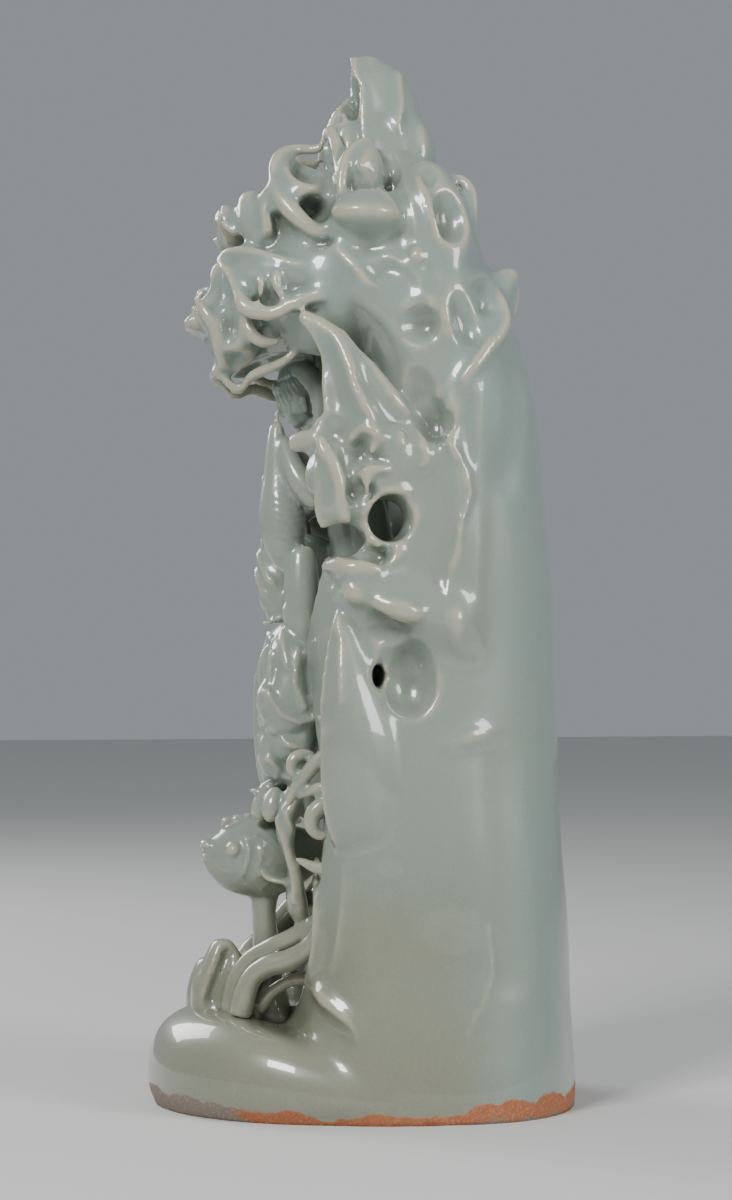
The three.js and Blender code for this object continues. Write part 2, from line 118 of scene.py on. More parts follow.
def gather(name, solids):
    whole = bmesh.new()
    for solid in solids:
        part = solid.data if isinstance(solid, bpy.types.Object) else bpy.data.meshes.new("part")
        if isinstance(solid, bpy.types.Object):
            whole.from_mesh(part)
            bpy.data.objects.remove(solid)
        else:
            solid.to_mesh(part)
            solid.free()
            whole.from_mesh(part)
        bpy.data.meshes.remove(part)
    mesh = bpy.data.meshes.new(name)
    whole.to_mesh(mesh)
    whole.free()
    piece = bpy.data.objects.new(name, mesh)
    bpy.context.scene.collection.objects.link(piece)
    return piece


def settle(piece):  # makes the modifiers real
    bpy.context.view_layer.update()
    shown = piece.evaluated_get(bpy.context.evaluated_depsgraph_get())
    mesh = bpy.data.meshes.new_from_object(shown)
    old = piece.data
    piece.modifiers.clear()
    piece.data = mesh
    bpy.data.meshes.remove(old)
    return piece


def weld(piece, voxel):
    remesh = piece.modifiers.new("weld", "REMESH")
    remesh.mode = "VOXEL"
    remesh.voxel_size = voxel
    return settle(piece)


def cut(piece, tool, operation="DIFFERENCE"):
    boolean = piece.modifiers.new("cut", "BOOLEAN")
    boolean.operation = operation
    boolean.solver = "MANIFOLD"
    boolean.object = tool
    settle(piece)
    bpy.data.objects.remove(tool)
    return piece


def mirrored(piece, name):  # the far side's copy, bent so that the two sides differ
    copy = piece.copy()
    copy.data = piece.data.copy()
    copy.name = name
    bpy.context.scene.collection.objects.link(copy)
    where = points(copy.data)
    x, y, z = where.T
    amount = ease(4, 34, x) * ease(20, 120, z)
    drift = ease(2, 30, x) * ease(30, 90, z)
    out = np.stack([
        -x - 2.5 * drift * np.sin(y / 13 + z / 29),
        y + farBack * amount + 3.5 * drift * np.sin(z / 17 + 1) + 1.5 * drift * np.sin(x / 9),
        z - farDrop * amount + 3 * drift * np.sin(y / 15 + x / 21),
    ], 1)
    place(copy.data, out)
    copy.data.flip_normals()
    return copy


# Points of a mesh as numbers


def points(mesh):
    place = np.empty(len(mesh.vertices) * 3)
    mesh.vertices.foreach_get("co", place)
    return place.reshape(-1, 3)


def normals(mesh):
    out = np.empty(len(mesh.vertices) * 3)
    mesh.vertex_normals.foreach_get("vector", out)
    return out.reshape(-1, 3)


def place(mesh, where):
    mesh.vertices.foreach_set("co", where.ravel())
    mesh.update()


class Web:  # which points are joined by edges
    def __init__(self, mesh):
        ends = np.empty(len(mesh.edges) * 2, int)
        mesh.edges.foreach_get("vertices", ends)
        self.a, self.b = ends[0::2], ends[1::2]
        self.count = len(mesh.vertices)
        self.degree = np.bincount(ends, minlength=self.count)

    def mean(self, value):
        flat = value.reshape(self.count, -1)
        total = np.empty_like(flat)
        for k in range(flat.shape[1]):
            total[:, k] = np.bincount(self.a, flat[self.b, k], self.count)
            total[:, k] += np.bincount(self.b, flat[self.a, k], self.count)
        return (total / self.degree[:, None]).reshape(value.shape)


def relax(piece, times, amount=0.5):
    web = Web(piece.data)
    where = points(piece.data)
    for _ in range(times):
        where += amount * (web.mean(where) - where)
    place(piece.data, where)


# Glaze runs into the hollows and leaves the crests nearly as they are.
def pool(piece, times, fill=0.6, soften=0.12):
    web = Web(piece.data)
    where = points(piece.data)
    for step in range(times):
        if step % 4 == 0:
            place(piece.data, where)
            outward = normals(piece.data)
        pull = web.mean(where) - where
        rise = (pull * outward).sum(1)
        where += (np.where(rise > 0, fill, soften) * rise)[:, None] * outward
    place(piece.data, where)


def gapTo(flat, path, reach):  # distance of each flat point to a chain of points
    path = np.asarray(path, float)
    gap = np.full(len(flat), np.inf)
    for a, b in zip(path[:-1], path[1:]) if len(path) > 1 else [(path[0], path[0])]:
        span = b - a
        t = np.clip((flat - a) @ span / max(span @ span, 1e-9), 0, 1)
        gap = np.minimum(gap, np.linalg.norm(flat - a - t[:, None] * span, axis=1))
    return gap


# Strokes are drawn on the side of the rock as the eye sees it: (rise, reach, (y, z), (y, z) ...),
# in millimetres on an upright plane at x = plane. Ridges are sharp and hollows are soft.
def draw(piece, plane, ridges=(), hollows=(), hand=1, shift=(0, 0), strength=1, past=-1000):
    mesh = piece.data
    where, outward = points(mesh), normals(mesh)
    x = where[:, 0] * hand
    scale = (plane - eye[0]) / (x - eye[0])
    flat = np.stack([
        eye[1] + (where[:, 1] - shift[0] - eye[1]) * scale,
        eye[2] + (where[:, 2] - shift[1] - eye[2]) * scale,
    ], 1)
    toEye = np.array([math.sin(lookAzimuth) * hand, -math.cos(lookAzimuth), 0])
    facing = ease(-0.05, 0.4, outward @ toEye) * (x > past)
    move = np.zeros(len(where))
    for sharp, strokes in ((True, ridges), (False, hollows)):
        for rise, reach, *path in strokes:
            low, high = np.min(path, 0) - reach, np.max(path, 0) + reach
            close = np.flatnonzero(((flat > low) & (flat < high)).all(1) & (facing > 0))
            if not len(close):
                continue
            gap = gapTo(flat[close], path, reach)
            near = np.clip(1 - gap / reach, 0, 1)
            move[close] += rise * (near ** 1.4 if sharp else near * near * (3 - 2 * near))
    place(mesh, where + (move * facing * strength)[:, None] * outward)


# Strokes in space: (rise, reach, (x, y, z), (x, y, z) ...).
def sculpt(piece, strokes, sharp=False):
    mesh = piece.data
    where, outward = points(mesh), normals(mesh)
    move = np.zeros(len(where))
    for rise, reach, *path in strokes:
        low, high = np.min(path, 0) - reach, np.max(path, 0) + reach
        close = np.flatnonzero(((where > low) & (where < high)).all(1))
        if len(close):
            near = np.clip(1 - gapTo(where[close], path, reach) / reach, 0, 1)
            move[close] += rise * (near ** 1.4 if sharp else near * near * (3 - 2 * near))
    place(mesh, where + move[:, None] * outward)


# Pinched clay: hollows round the given centres, with crests between them.
def pinch(piece, centres, depth, crest, knob, width, wander=3, weight=None):
    mesh = piece.data
    where, outward = points(mesh), normals(mesh)
    wave = np.stack([np.sin(where[:, 2] / 9), np.sin(where[:, 0] / 8), np.sin(where[:, 1] / 7)], 1)
    strayed = where + wander * wave
    gaps = np.sort(np.stack([np.linalg.norm(strayed - c, axis=1) for c in np.array(centres, float)], 1), axis=1)
    edge = ease(width, 0, gaps[:, 1] - gaps[:, 0])
    corner = ease(width, 0, gaps[:, 2] - gaps[:, 0])
    move = crest * edge - depth * (1 - edge) + knob * corner
    if weight is not None:
        move = move * weight(where, outward)
    place(mesh, where + move[:, None] * outward)


# Rock wall and base

wallValues = {
    # height, back, front, half width
    "stations": (
        (-8, 92, -38, 83), (14, 92, -38, 84), (45, 90, -32, 79), (110, 87, -28, 73), (175, 83.5, -27, 68),
        (235, 82, -27, 65), (265, 79.5, -20, 64), (296, 75.5, 2, 63), (325, 69, -2, 60), (352, 58, -26, 54),
        (380, 47, -32, 43), (400, 36, -20, 27), (411, 30, -6, 15),
    ),
    "backSquareness": 2.3,
    "frontSquareness": 4,
}


def wall():
    stations = np.array(wallValues["stations"])

    def moveTo(unit):
        t = np.arccos(np.clip(unit[:, 2], -1, 1)) / math.pi
        height, back, front, half = curveAt(stations, t).T
        ring = ease(0, 0.004, t) * ease(1, 0.985, t)
        angle = np.arctan2(unit[:, 1], unit[:, 0])
        power = np.where(np.sin(angle) < 0, wallValues["frontSquareness"], wallValues["backSquareness"])
        x = ring * half * squared(np.cos(angle), power)
        y = (back + front) / 2 + ring * (back - front) / 2 * squared(np.sin(angle), power)
        return np.stack([x, y, height], 1)
    return ball(moveTo, 160, 240)


moundValues = {
    "halfWidth": 84,
    "reach": 92,
    "height": 43,
    "profile": ((0.94, -0.25), (0.955, 0), (0.985, 0.1), (1, 0.32), (0.985, 0.56), (0.92, 0.8), (0.76, 0.96), (0.4, 1), (0, 1)),
}


def mound():
    v = moundValues

    def moveTo(unit):
        t = np.arccos(np.clip(unit[:, 2], -1, 1)) / math.pi
        radius, height = curveAt(v["profile"][::-1], t).T
        radius = radius * ease(1, 0.99, t)
        angle = np.arctan2(unit[:, 1], unit[:, 0])
        across, ahead = radius * np.cos(angle), -radius * np.sin(angle)
        y = np.where(ahead > 0, -ahead * v["reach"], -ahead * v["reach"] * 0.5)
        tuck = 1 - 0.1 * ease(0, 30, y)
        fall = 1 - 0.45 * ease(-70, 8, y)
        lobes = 1 + 0.05 * np.cos(3 * np.arctan2(across, ahead)) * ease(0.3, 1, ahead)
        return np.stack([across * v["halfWidth"] * tuck, y, height * v["height"] * fall * lobes], 1)
    return ball(moveTo, 120, 120)


caveValues = {
    "cave": ([(0, -14, 204), (0, -12, 250), (0, -14, 290), (0, -22, 322)], [44, 51, 50, 36], [40, 52, 46, 24]),
    "brow": ((0, -26, 296), (60, 36, 28), (-16, 0, 0)),
    "niche": ([(0, -44, 46), (0, -36, 90), (0, -34, 140), (0, -38, 184)], [44, 50, 47, 40], [30, 30, 29, 24]),
}


def caves():
    v = caveValues
    return weld(gather("caves", [
        form(*v["cave"], blunt=0.4, power=2.4),
        form(*v["niche"], blunt=0.4, power=2.6),
        lump(*v["brow"]),
    ]), 2)


# Things are placed on the near side as they show from the eye: (x, y, z) shows at (y, z) on the
# upright plane at x = plane, and (y, z) alone is carried back to the rock's surface.


class Side:
    def __init__(self, piece, plane):
        self.plane = plane
        self.tree = BVHTree.FromPolygons([v.co for v in piece.data.vertices], [p.vertices for p in piece.data.polygons])

    def seen(self, x, y, z):
        s = (x - eye[0]) / (self.plane - eye[0])
        return (x, eye[1] + (y - eye[1]) * s, eye[2] + (z - eye[2]) * s)

    def laid(self, y, z, lift=0):
        ray = (Vector((self.plane, y, z)) - Vector(eye)).normalized()
        spot = self.tree.ray_cast(Vector(eye), ray)[0]
        if spot is None or spot.x < 0:
            return self.seen(20, y, z)
        return tuple(spot - ray * lift)

    def spot(self, point, lift=0):
        return self.seen(*point) if len(point) == 3 else self.laid(*point, lift)

    def rim(self, sizes, *path, lift=0.5, flat=1):  # a pinched edge along a path
        spine = [self.spot(p, lift) for p in path]
        deep = [s * flat for s in sizes]
        return form(spine, sizes, deep, blunt=0.4, sides=20, rings=8 * len(path))

    def bowl(self, depth, wide, high, point, turn=(0, 0, 0)):  # a hollow pressed with a thumb
        return lump(self.spot(point), (depth, wide, high), turn, 4)


# Peak

def peak():
    solids = [
        form(
            [(0, 8, 372), (0, 10, 402), (0, 10.5, 420), (0, 8, 435), (0, 3, 446), (0, 1, 453.5)],
            [36, 27, 20, 15.5, 10.5, 6], [32, 24, 18, 16, 12, 7.5], blunt=0.5, power=1.9,
        ),
        form([(12, -3, 392), (12, -7, 410), (8, -8, 428)], [8, 8, 4], [7, 6, 4], power=1.6),
        form([(-12, -4, 386), (-13, -9, 404), (-9, -8, 422)], [9, 7, 4], [7, 5, 3], power=1.5),
        lump((2, 20, 410), (20, 13, 20), (12, 0, 0)),
    ]
    rock = weld(gather("peak", solids), 1.2)
    relax(rock, 4)
    draw(rock, 35, [
        (3.4, 4, (-9, 446), (-8, 440), (-5.5, 433), (-4, 426), (-3.5, 418), (-3, 412)),
        (1.6, 3, (11, 440), (12, 430), (11, 418)),
    ], [
        (-3, 5, (-9, 434), (-8, 422)), (-1.6, 5, (4, 421), (8, 415)), (-2, 6, (16, 420), (17, 408)),
    ])
    draw(rock, 35, [
        (2.6, 4, (-7, 442), (-6, 430), (-9, 416), (-7, 404)), (2, 4, (6, 436), (9, 420), (7, 402)),
        (2, 4, (14, 428), (18, 414), (16, 398)),
    ], [(-3, 6, (0, 426), (1, 410)), (-2.4, 5, (13, 420), (13, 406))], -1)
    return rock


# Canopy

canopyValues = {
    "core": [
        ((0, -14, 350), (47, 40, 38)),
        ((18, -29, 388), (20, 13, 19)),
        ((8, -46, 352), (32, 16, 14)),
        ((0, -56, 331), (28, 14, 19)),
        ((30, 22, 366), (22, 22, 34)),
    ],
    "brow": [(0, -22, 276), (0, -20, 300), (0, -22, 324)],
}


def canopyCore():
    return [lump(*part) for part in canopyValues["core"]]


def canopyBowls(s):
    return [
        s.bowl(22, 8.5, 8.5, (34, -27, 402)),
        s.bowl(18, 8.5, 7.5, (40, -25, 383)),
        s.bowl(9, 4, 5, (24, -12, 414)),
        s.bowl(5, 3.4, 5, (27, -55, 385)),
        s.bowl(9, 4, 8.5, (44, -52, 348), (-16, 0, 0)),
        s.bowl(8, 4.2, 5.4, (45, -44.5, 351)),
        s.bowl(11, 8, 6, (50, -32, 350.5)),
        s.bowl(8, 3.6, 10, (-61, 334)),
        s.bowl(6, 7, 4, (-59, 318)),
        s.bowl(5, 3, 4, (-73, 345)),
        s.bowl(5, 10, 3.4, (-24, 369)),
        s.bowl(4, 8, 4, (-3, 367)),
        s.bowl(4, 4, 13, (9, 396), (-12, 0, 0)),
        s.bowl(3, 3.4, 9, (24, 398), (-14, 0, 0)),
        s.bowl(9, 8, 13, (34, 382)),
        s.bowl(7, 6, 14, (40, 337), (14, 0, 0)),
        s.bowl(4, 4, 4, (48, 341)),
        s.bowl(5, 4, 10, (57, 343)),
        s.bowl(3, 9, 4, (4, 357), (24, 0, 0)),
        s.bowl(5, 6, 3, (-27, 341)),
        s.bowl(5, 9, 8, (20, 335), (0, 0, 0)),
    ]


def canopyRims(s):
    rim = s.rim
    return [
        # the cup
        rim([4, 5, 4.6, 3.8, 3.4, 3.2, 3], (22, -42, 398), (28, -41, 390), (34, -36, 383), (38, -29, 376.5), (40, -22, 373), (41, -17, 377), (40, -14, 387)),
        rim([4, 3.4, 3, 2.8, 2.8, 2.6], (24, -43, 396), (20, -41, 404), (14, -36, 407.5), (12, -30, 408), (14, -24, 408), (16, -21, 411)),
        rim([2.6, 3, 3.2, 3.4, 3.4, 3], (14, -22, 412), (16, -19, 416), (22, -16, 411), (28, -14, 402), (34, -13, 394), (38, -14, 387)),
        rim([3, 2.6, 2.4, 2.6], (10, -20, 416), (6, -16, 423), (3, -13, 427), (0, -9, 431)),
        rim([1.8, 1.6, 1.6, 2], (14, -19, 417.5), (14, -14, 419), (12, -9, 420), (10, -4, 421)),
        rim([2, 2.6, 2.6], (26, -40, 390), (24, -30, 391), (26, -20, 391)),
        # the flap over the box-shaped knob
        rim([2, 2.6, 2.8, 3, 3, 3], (24, 1, 413), (30, -4, 412), (34, -9, 408), (38, -12.5, 402), (41, -13.5, 394), (43, -14, 387)),
        rim([2, 2, 1.6], (30, 0, 411), (38, -3, 405), (42, -6, 399)),
        lump(s.seen(28, -4, 398), (12, 9, 14), (0, 0, 0), 4),
        form([s.seen(*p) for p in [(38, -14, 381), (45, -7, 381.5), (46, 3, 381), (40, 12, 379)]],
             [6, 10.5, 10, 3], [9, 13, 12, 4], side=(0, 0, 1), blunt=0.3, power=1.35),
        rim([3, 3.6, 3.6, 2], (44, 1, 391), (50, 5, 387), (50, 9, 381), (46, 12, 378)),
        # lines down the body
        rim([1.5, 2, 2, 1.8, 1.4], (5, 413), (12, 402), (15, 392), (18, 380), (19, 369)),
        rim([1.5, 2, 2, 1.4], (19, 404), (20, 395), (24, 385), (29, 372)),
        s.bowl(5, 4.4, 5, (19, 363)),
        rim([1.4, 2.2, 2.6, 2, 1.4], (5, 364), (13, 360), (21, 353), (20, 346), (13, 341)),
        rim([1.2, 1.8, 1.8, 1.2], (-15, 366), (-9, 360), (-3, 353), (2, 350)),
        # two round knobs in front
        form([s.seen(*p) for p in [(22, -47, 366), (20, -50, 378), (16, -52.5, 389.5)]], [8, 7.5, 7.2], [8, 7.5, 7.2]),
        rim([3, 2.8, 2.6], (26, -46, 391), (29, -46, 381), (30, -44, 371)),
        form([s.seen(*p) for p in [(14, -56, 373), (10, -61, 378), (6, -66.5, 381.5)]], [6, 5.4, 5], [6, 5.4, 5]),
        rim([1.4, 1.8, 1.4], (16, -67, 379), (18, -62, 374), (20, -58, 371)),
        # the shelf with three scoops
        rim([3, 3.2, 3.4, 3.6, 3.8, 3.6, 3.4, 3.2, 3.2, 3.2, 3, 3, 2.6],
            (14, -66, 362), (20, -64, 358), (27, -60, 354), (33, -57, 347), (37, -55, 341), (39, -49, 338.5), (41, -42, 338.5),
            (43, -35, 342), (44, -28, 345), (45, -21, 347), (44, -19, 351), (43, -21, 355), (42, -20, 359)),
        rim([3, 3.4, 3.2, 3.2, 3, 2.6], (14, -65, 363), (22, -58, 364), (30, -50, 363), (36, -42, 361), (40, -34, 359), (42, -25, 359)),
        rim([2.4, 2.4, 2], (40, -41, 357), (42, -41, 350), (41, -38, 344)),
        rim([1.8, 2, 1.6], (41, -48, 355), (42, -48, 349), (40, -49, 343)),
        # the block below it
        rim([2.6, 3.2, 3.2, 3, 2.6], (12, -76, 345), (16, -72, 339), (18, -68, 333), (18, -66, 324), (14, -63, 314)),
        rim([2.6, 3, 3, 3, 3, 3, 2.4], (6, -67, 348), (0, -72, 347), (0, -75.5, 344), (2, -74, 338), (2, -75, 333), (4, -70, 326), (6, -68, 318)),
        rim([2.6, 3, 3, 2.6], (26, -54, 337), (28, -52, 330), (29, -47, 326), (30, -39, 327)),
        rim([3, 3, 2.4, 2.6, 3, 3, 3], (8, -66, 313), (10, -62, 308), (10, -57, 305.5), (14, -53, 311), (18, -47, 314), (24, -40, 317), (28, -33, 322)),
        # flanges against the smooth back
        rim([2.6, 2.8, 3, 3, 2.8, 2.8, 2.6], (26, 29, 397), (28, 37, 397), (31, 42, 392), (34, 43, 383), (37, 41.5, 372), (40, 40, 361), (43, 38.5, 351)),
        rim([2, 2.4, 2.4, 2], (24, 43, 378), (24, 44.5, 370), (26, 44.5, 362), (30, 44, 356)),
        form([s.seen(*p) for p in [(26, 46, 330), (27, 52, 346), (26, 58, 354), (24, 61, 353)]], [16, 12, 7, 5], [12, 9, 6, 5]),
        rim([2.4, 2.6, 2.6, 2.4], (34, 50, 355), (30, 57, 356), (28, 61.5, 350), (32, 61, 338)),
        rim([2.4, 3, 3.4, 3.4, 3.4, 3.2, 3, 2.6, 2.2], (41, 353), (47, 355), (51, 350), (55, 344), (57, 337), (55, 331), (50, 325), (44, 317), (38, 309)),
        rim([1.4, 1.6, 1.2], (23, 349), (23.5, 345), (24, 342)),
        rim([1.4, 1.6, 1.2], (26, 349), (26, 345), (26, 341)),
    ]


# Pillars

pillarValues = {
    "tall": (
        [(56, -3, 262), (57, -3, 290), (56, -8, 300), (54, -13, 310), (52, -18, 320), (49, -23, 329), (45, -31, 338)],
        [13, 10, 8.5, 7, 5.5, 4, 2], [21, 18.5, 16.5, 13.5, 9, 6, 3],
    ),
    "mass": [((53, -6, 270), (14, 26, 19), (6, 0, 0)), ((54, 6, 276), (13, 14, 15))],
    "low": (
        [(62, -2, 112), (63, -5, 134), (64, -9, 156), (64, -12, 170), (63, -14.5, 182), (61, -16.5, 195), (59, -17, 206), (58, -16.5, 214)],
        [14, 14, 12, 10, 8.5, 6.5, 5, 3.4], [32, 26, 20, 16, 13, 9, 6.5, 4], 
    ),
}


def tallPinnacle():
    tall = weld(gather("tall", [form(*pillarValues["tall"], power=1.35)]), 1)
    draw(tall, 45, [
        (3.5, 5, (-32, 337), (-24, 333), (-19, 329), (-14, 322), (-11, 315), (-9, 308), (-6, 301), (-3, 295), (-1, 289)),
        (2.5, 3, (-30, 335), (-26, 329), (-26, 320), (-25, 310), (-24, 302), (-21, 296), (-20, 291)),
        (2.5, 3, (-24, 338), (-18, 334), (-11, 324), (-3, 316), (4, 307), (13, 296), (20, 286)),
    ], [(-3, 6, (-22, 324), (-19, 312), (-16, 300)), (-2.5, 6, (-5, 310), (2, 300), (8, 292))])
    return tall


def pillarRims(s):
    rim = s.rim
    low = form(*pillarValues["low"], power=1.45)
    return [lump(*part) for part in pillarValues["mass"]] + [
        low,
        # the hanging tongue
        form([s.seen(*p) for p in [(58, -21, 281), (61, -21, 268), (62, -20, 256), (61, -19, 247)]], [7, 8, 7.5, 5], [9, 8.5, 8, 5.5], power=2.3),
        rim([3.6, 3.6, 3.4, 3.2, 3, 2.6, 2.4], (62, -27, 286), (65, -25, 280), (67, -20.5, 273), (68, -18.5, 265), (68, -17.5, 257), (67, -15, 250), (64, -13, 247)),
        rim([2.4, 2.2, 2.2, 2.2], (62, -27.5, 274), (63, -27, 264), (63, -27, 254), (62, -24, 245)),
        # its joint to the sleeve
        form([s.seen(*p) for p in [(56, -24, 284), (50, -31, 283.5), (43, -39, 282)]], [6.5, 5.2, 5], [6.5, 5.2, 5], side=(0, 0, 1)),
        form([s.seen(*p) for p in [(54, -24, 284), (54, -25.5, 290), (52, -26, 293)]], [4.5, 3.4, 3], [4.5, 3.4, 3]),
    ]


def massBowls(s):
    return [
        s.bowl(7, 4, 8, (-9, 279)),
        s.bowl(5, 4, 11, (-14.5, 277), (6, 0, 0)),
        s.bowl(6, 8, 6, (-9, 262)),
        s.bowl(4, 4, 4, (-1, 277)),
        s.bowl(3, 4.5, 4, (1, 270)),
        s.bowl(2, 3, 8, (-24, 262)),
    ]


def massRims(s):
    rim = s.rim
    return [
        rim([2, 2.4, 2.6, 2.4, 2.2, 2], (-14, 283), (-11, 287), (-7, 289), (-3, 287), (-3, 283), (-6, 277)),
        rim([2.2, 2.4, 2.2], (-3, 284), (1, 284.5), (4, 288)),
        rim([1.6, 2, 2, 1.6], (4, 288), (7, 287), (8, 284), (6, 281)),
        rim([2, 2.4, 2.6, 2.2], (15, 288), (17, 282), (18.5, 277), (15, 272)),
        rim([1.6, 1.8, 1.8, 1.4], (-9, 272), (-5, 271), (0, 272), (4, 270)),
        rim([2, 2.2, 2.2, 2.2, 2], (-12, 251), (-6, 255), (0, 259), (5, 263), (12, 262)),
        rim([1.6, 1.8, 1.4], (-6, 270), (-7, 264), (-5, 259)),
    ]


windowValues = {
    "window": ([(30, -16, 242), (60, -17, 242), (96, -17, 242)], [7.5, 7, 8], [11, 10.5, 11.5]),
    "pocket": ([(30, 1, 250), (60, 3, 251), (96, 4, 252)], [8, 10, 12], [8, 9, 13]),
    "slit": ([(40, -1, 186), (64, -2, 185), (96, -3, 184)], [7, 6, 7], [3, 3, 3]),
}


def windows():
    tool = gather("windows", [form(*windowValues[k], side=(0, 0, 1), blunt=0.35) for k in windowValues])
    return weld(tool, 1.2)


def wallBowls(s):
    return [
        s.bowl(15, 12, 17, (70, 12, 184)),
        s.bowl(12, 10, 9, (72, 6, 192)),
        s.bowl(11, 10, 14, (64, 14, 304)),
        s.bowl(9, 8, 10, (62, 22, 292)),
        s.bowl(5, 3.6, 6, (-22, 227)),
        s.bowl(6, 8, 5.5, (-3, 236)),
        s.bowl(6, 10, 8, (2, 206), (-24, 0, 0)),
        s.bowl(3, 5, 16, (36, 286)),
    ]


def wallRims(s):
    rim = s.rim
    return [
        s.bowl(7, 4.6, 6.4, (60, 11.5, 252)),
        s.bowl(4, 2, 1.8, (64, -2, 240)),
        rim([3, 4, 4.4, 4, 3], (-25, 231), (-19, 231.5), (-13, 230), (-7, 230), (0, 229), lift=1),
        rim([2, 2.6, 2.6, 2], (0, 230), (5, 233), (7, 238), (6, 242), lift=0),
        rim([4, 5, 5, 3.4], (-16, 226), (-13, 222), (-9, 219), (-6, 217), lift=-2),
        rim([1.6, 3.4, 5, 5.4, 4], (-8, 218), (-2, 216), (5, 214), (11, 212), (17, 211), lift=-1),
        rim([4, 5, 5, 4], (22, 151), (30, 157), (39, 160), (48, 160), lift=-3),
        rim([3, 4, 4, 3, 2], (-33, 62), (-26, 53), (-19, 46), (-13, 39), (-9, 31), lift=-1),
        rim([3, 4, 4, 3], (-28, 110), (-26, 90), (-27, 70), (-32, 56), lift=-2),
        rim([2.4, 3.4, 3.4, 2.4], (-17, 118), (-15, 96), (-17, 76), (-21, 60), lift=-2),
    ]


# Lines on the wall, as (rise, reach, (y, z) ...) on a plane at x = 60
wallRidges = [
    (1.8, 2.4, (28, 299), (28, 290), (29, 282), (36, 272), (38, 262), (34, 251), (33, 244), (32, 236), (29, 231), (28, 220)),
    (1.2, 2.4, (45, 78), (47, 60), (43, 48), (39, 41), (36, 34)),
    (1.4, 2.2, (-19, 210), (-18, 200), (-17.5, 188), (-17, 175)),
]
wallHollows = [
    (-1.4, 6, (37, 300), (39, 268), (36, 232), (37, 200)),
    (-2.2, 8, (-26, 40), (-18, 35)),
    (-1.2, 10, (2, 100), (4, 60)),
    (-2, 6, (-22, 200), (-24, 180), (-25, 168)),
]
wallSwells = [  # (rise, reach, (x, y, z) ...)
    (5, 15, (28, 22, 408), (42, 30, 372), (55, 30, 336)),
    (5, 13, (44, 52, 338), (56, 38, 312), (62, 33, 286), (64, 34, 240), (66, 34, 200)),
    (-3, 13, (48, 56, 318), (56, 52, 270)),
    (8, 17, (64, -24, 228), (67, 0, 218), (64, 26, 208)),
    (2, 26, (68, 20, 140), (72, 24, 90)),
    (-1.5, 14, (66, 50, 150), (70, 52, 60)),
]


def seat():
    block = form([(0, 4, 176), (0, 2, 194), (0, 0, 213)], [40, 48, 42], [30, 36, 30], blunt=0.4, power=2.8)
    face = gather("face", [lump((0, 4, 124), (48, 24, 82), detail=6)])
    hollows = [(column * 30 + (row % 2) * 14, -30, 60 + row * 30) for row in range(5) for column in (-1, 0, 1)]
    pinch(face, hollows, 3, 4, 3, 14)
    return gather("seat", [block, face])


def foot():
    tool = gather("foot", [form([(0, 0, -30), (0, 0, 0), (0, 0, 3)], [72, 72, 72], [78, 78, 78], blunt=0.05, sides=120)])
    return weld(tool, 1.5)


def block(low, high):
    bm = bmesh.new()
    bmesh.ops.create_cube(bm, size=1)
    low, high = Vector(low), Vector(high)
    bmesh.ops.scale(bm, vec=high - low, verts=bm.verts)
    bmesh.ops.translate(bm, vec=(high + low) / 2, verts=bm.verts)
    return gather("block", [bm])


def ripple(piece, amount):  # the hand-smoothed wall is never quite even
    where, outward = points(piece.data), normals(piece.data)
    x, y, z = where.T
    wave = np.sin(z / 21 + y / 17) + np.sin(z / 11 - x / 19 + 2) * 0.5 + np.sin(y / 9 + z / 37 + 1) * 0.5
    place(piece.data, where + (amount * wave)[:, None] * outward)


rockValues = {
    "voxel": 1.15,
    "nearVoxel": 1.1,
    "faces": 197000,
}


def nearRock():
    v = rockValues
    rock = weld(gather("near_rock", [wall(), mound(), seat()] + canopyCore()), 1.6)
    cut(rock, block((-3, -200, -50), (200, 200, 500)), "INTERSECT")
    relax(rock, 5)
    sculpt(rock, wallSwells)
    ripple(rock, 0.5)
    cut(rock, caves())
    weld(rock, 1.3)
    print("near side: wall and caves")
    canopySide, wallSide = Side(rock, 35), Side(rock, 60)
    hollows = gather("bowls", canopyBowls(canopySide) + wallBowls(wallSide))
    cut(rock, weld(hollows, 1))
    rock = gather("near_rock", [rock, tallPinnacle()] + canopyRims(canopySide) + pillarRims(wallSide) + wallRims(wallSide))
    weld(rock, v["nearVoxel"])
    print("near side: canopy and pillars")
    massSide = Side(rock, 60)
    hollows = gather("bowls", massBowls(massSide))
    cut(rock, weld(hollows, 1))
    rock = gather("near_rock", [rock] + massRims(massSide))
    weld(rock, v["nearVoxel"])
    cut(rock, windows())
    weld(rock, v["nearVoxel"])
    pool(rock, 8)
    draw(rock, 60, wallRidges, wallHollows, past=40)
    cut(rock, block((-2, -200, -50), (200, 200, 500)), "INTERSECT")
    return rock


def grottoRock():
    v = rockValues
    near = nearRock()
    far = mirrored(near, "far_rock")
    rock = gather("grotto_rock", [near, far, peak()])
    weld(rock, v["voxel"])
    cut(rock, block((-200, -200, 0), (200, 200, 500)), "INTERSECT")
    cut(rock, foot())
    weld(rock, v["voxel"])
    front = [(0, -80, 350), (4, -76, 326), (-2, -66, 376), (-4, -44, 402), (-24, -80, 352), (20, -80, 344), (0, -50, 300)]
    pinch(rock, front, 2.5, 3, 2.5, 12, weight=lambda p, n: ease(0.3, 0.8, -n[:, 1]) * ease(16, 8, np.abs(p[:, 0])) * ease(290, 310, p[:, 2]))
    pool(rock, 5)
    print("rock: both sides", len(rock.data.vertices))
    return rock


# Figure

figureValues = {
    "headCentre": (0, -27, 303),
    "headRadius": 10.5,
    "bow": 30,
    "voxel": 0.8,
    "headVoxel": 0.42,
    "faces": 150000,
}


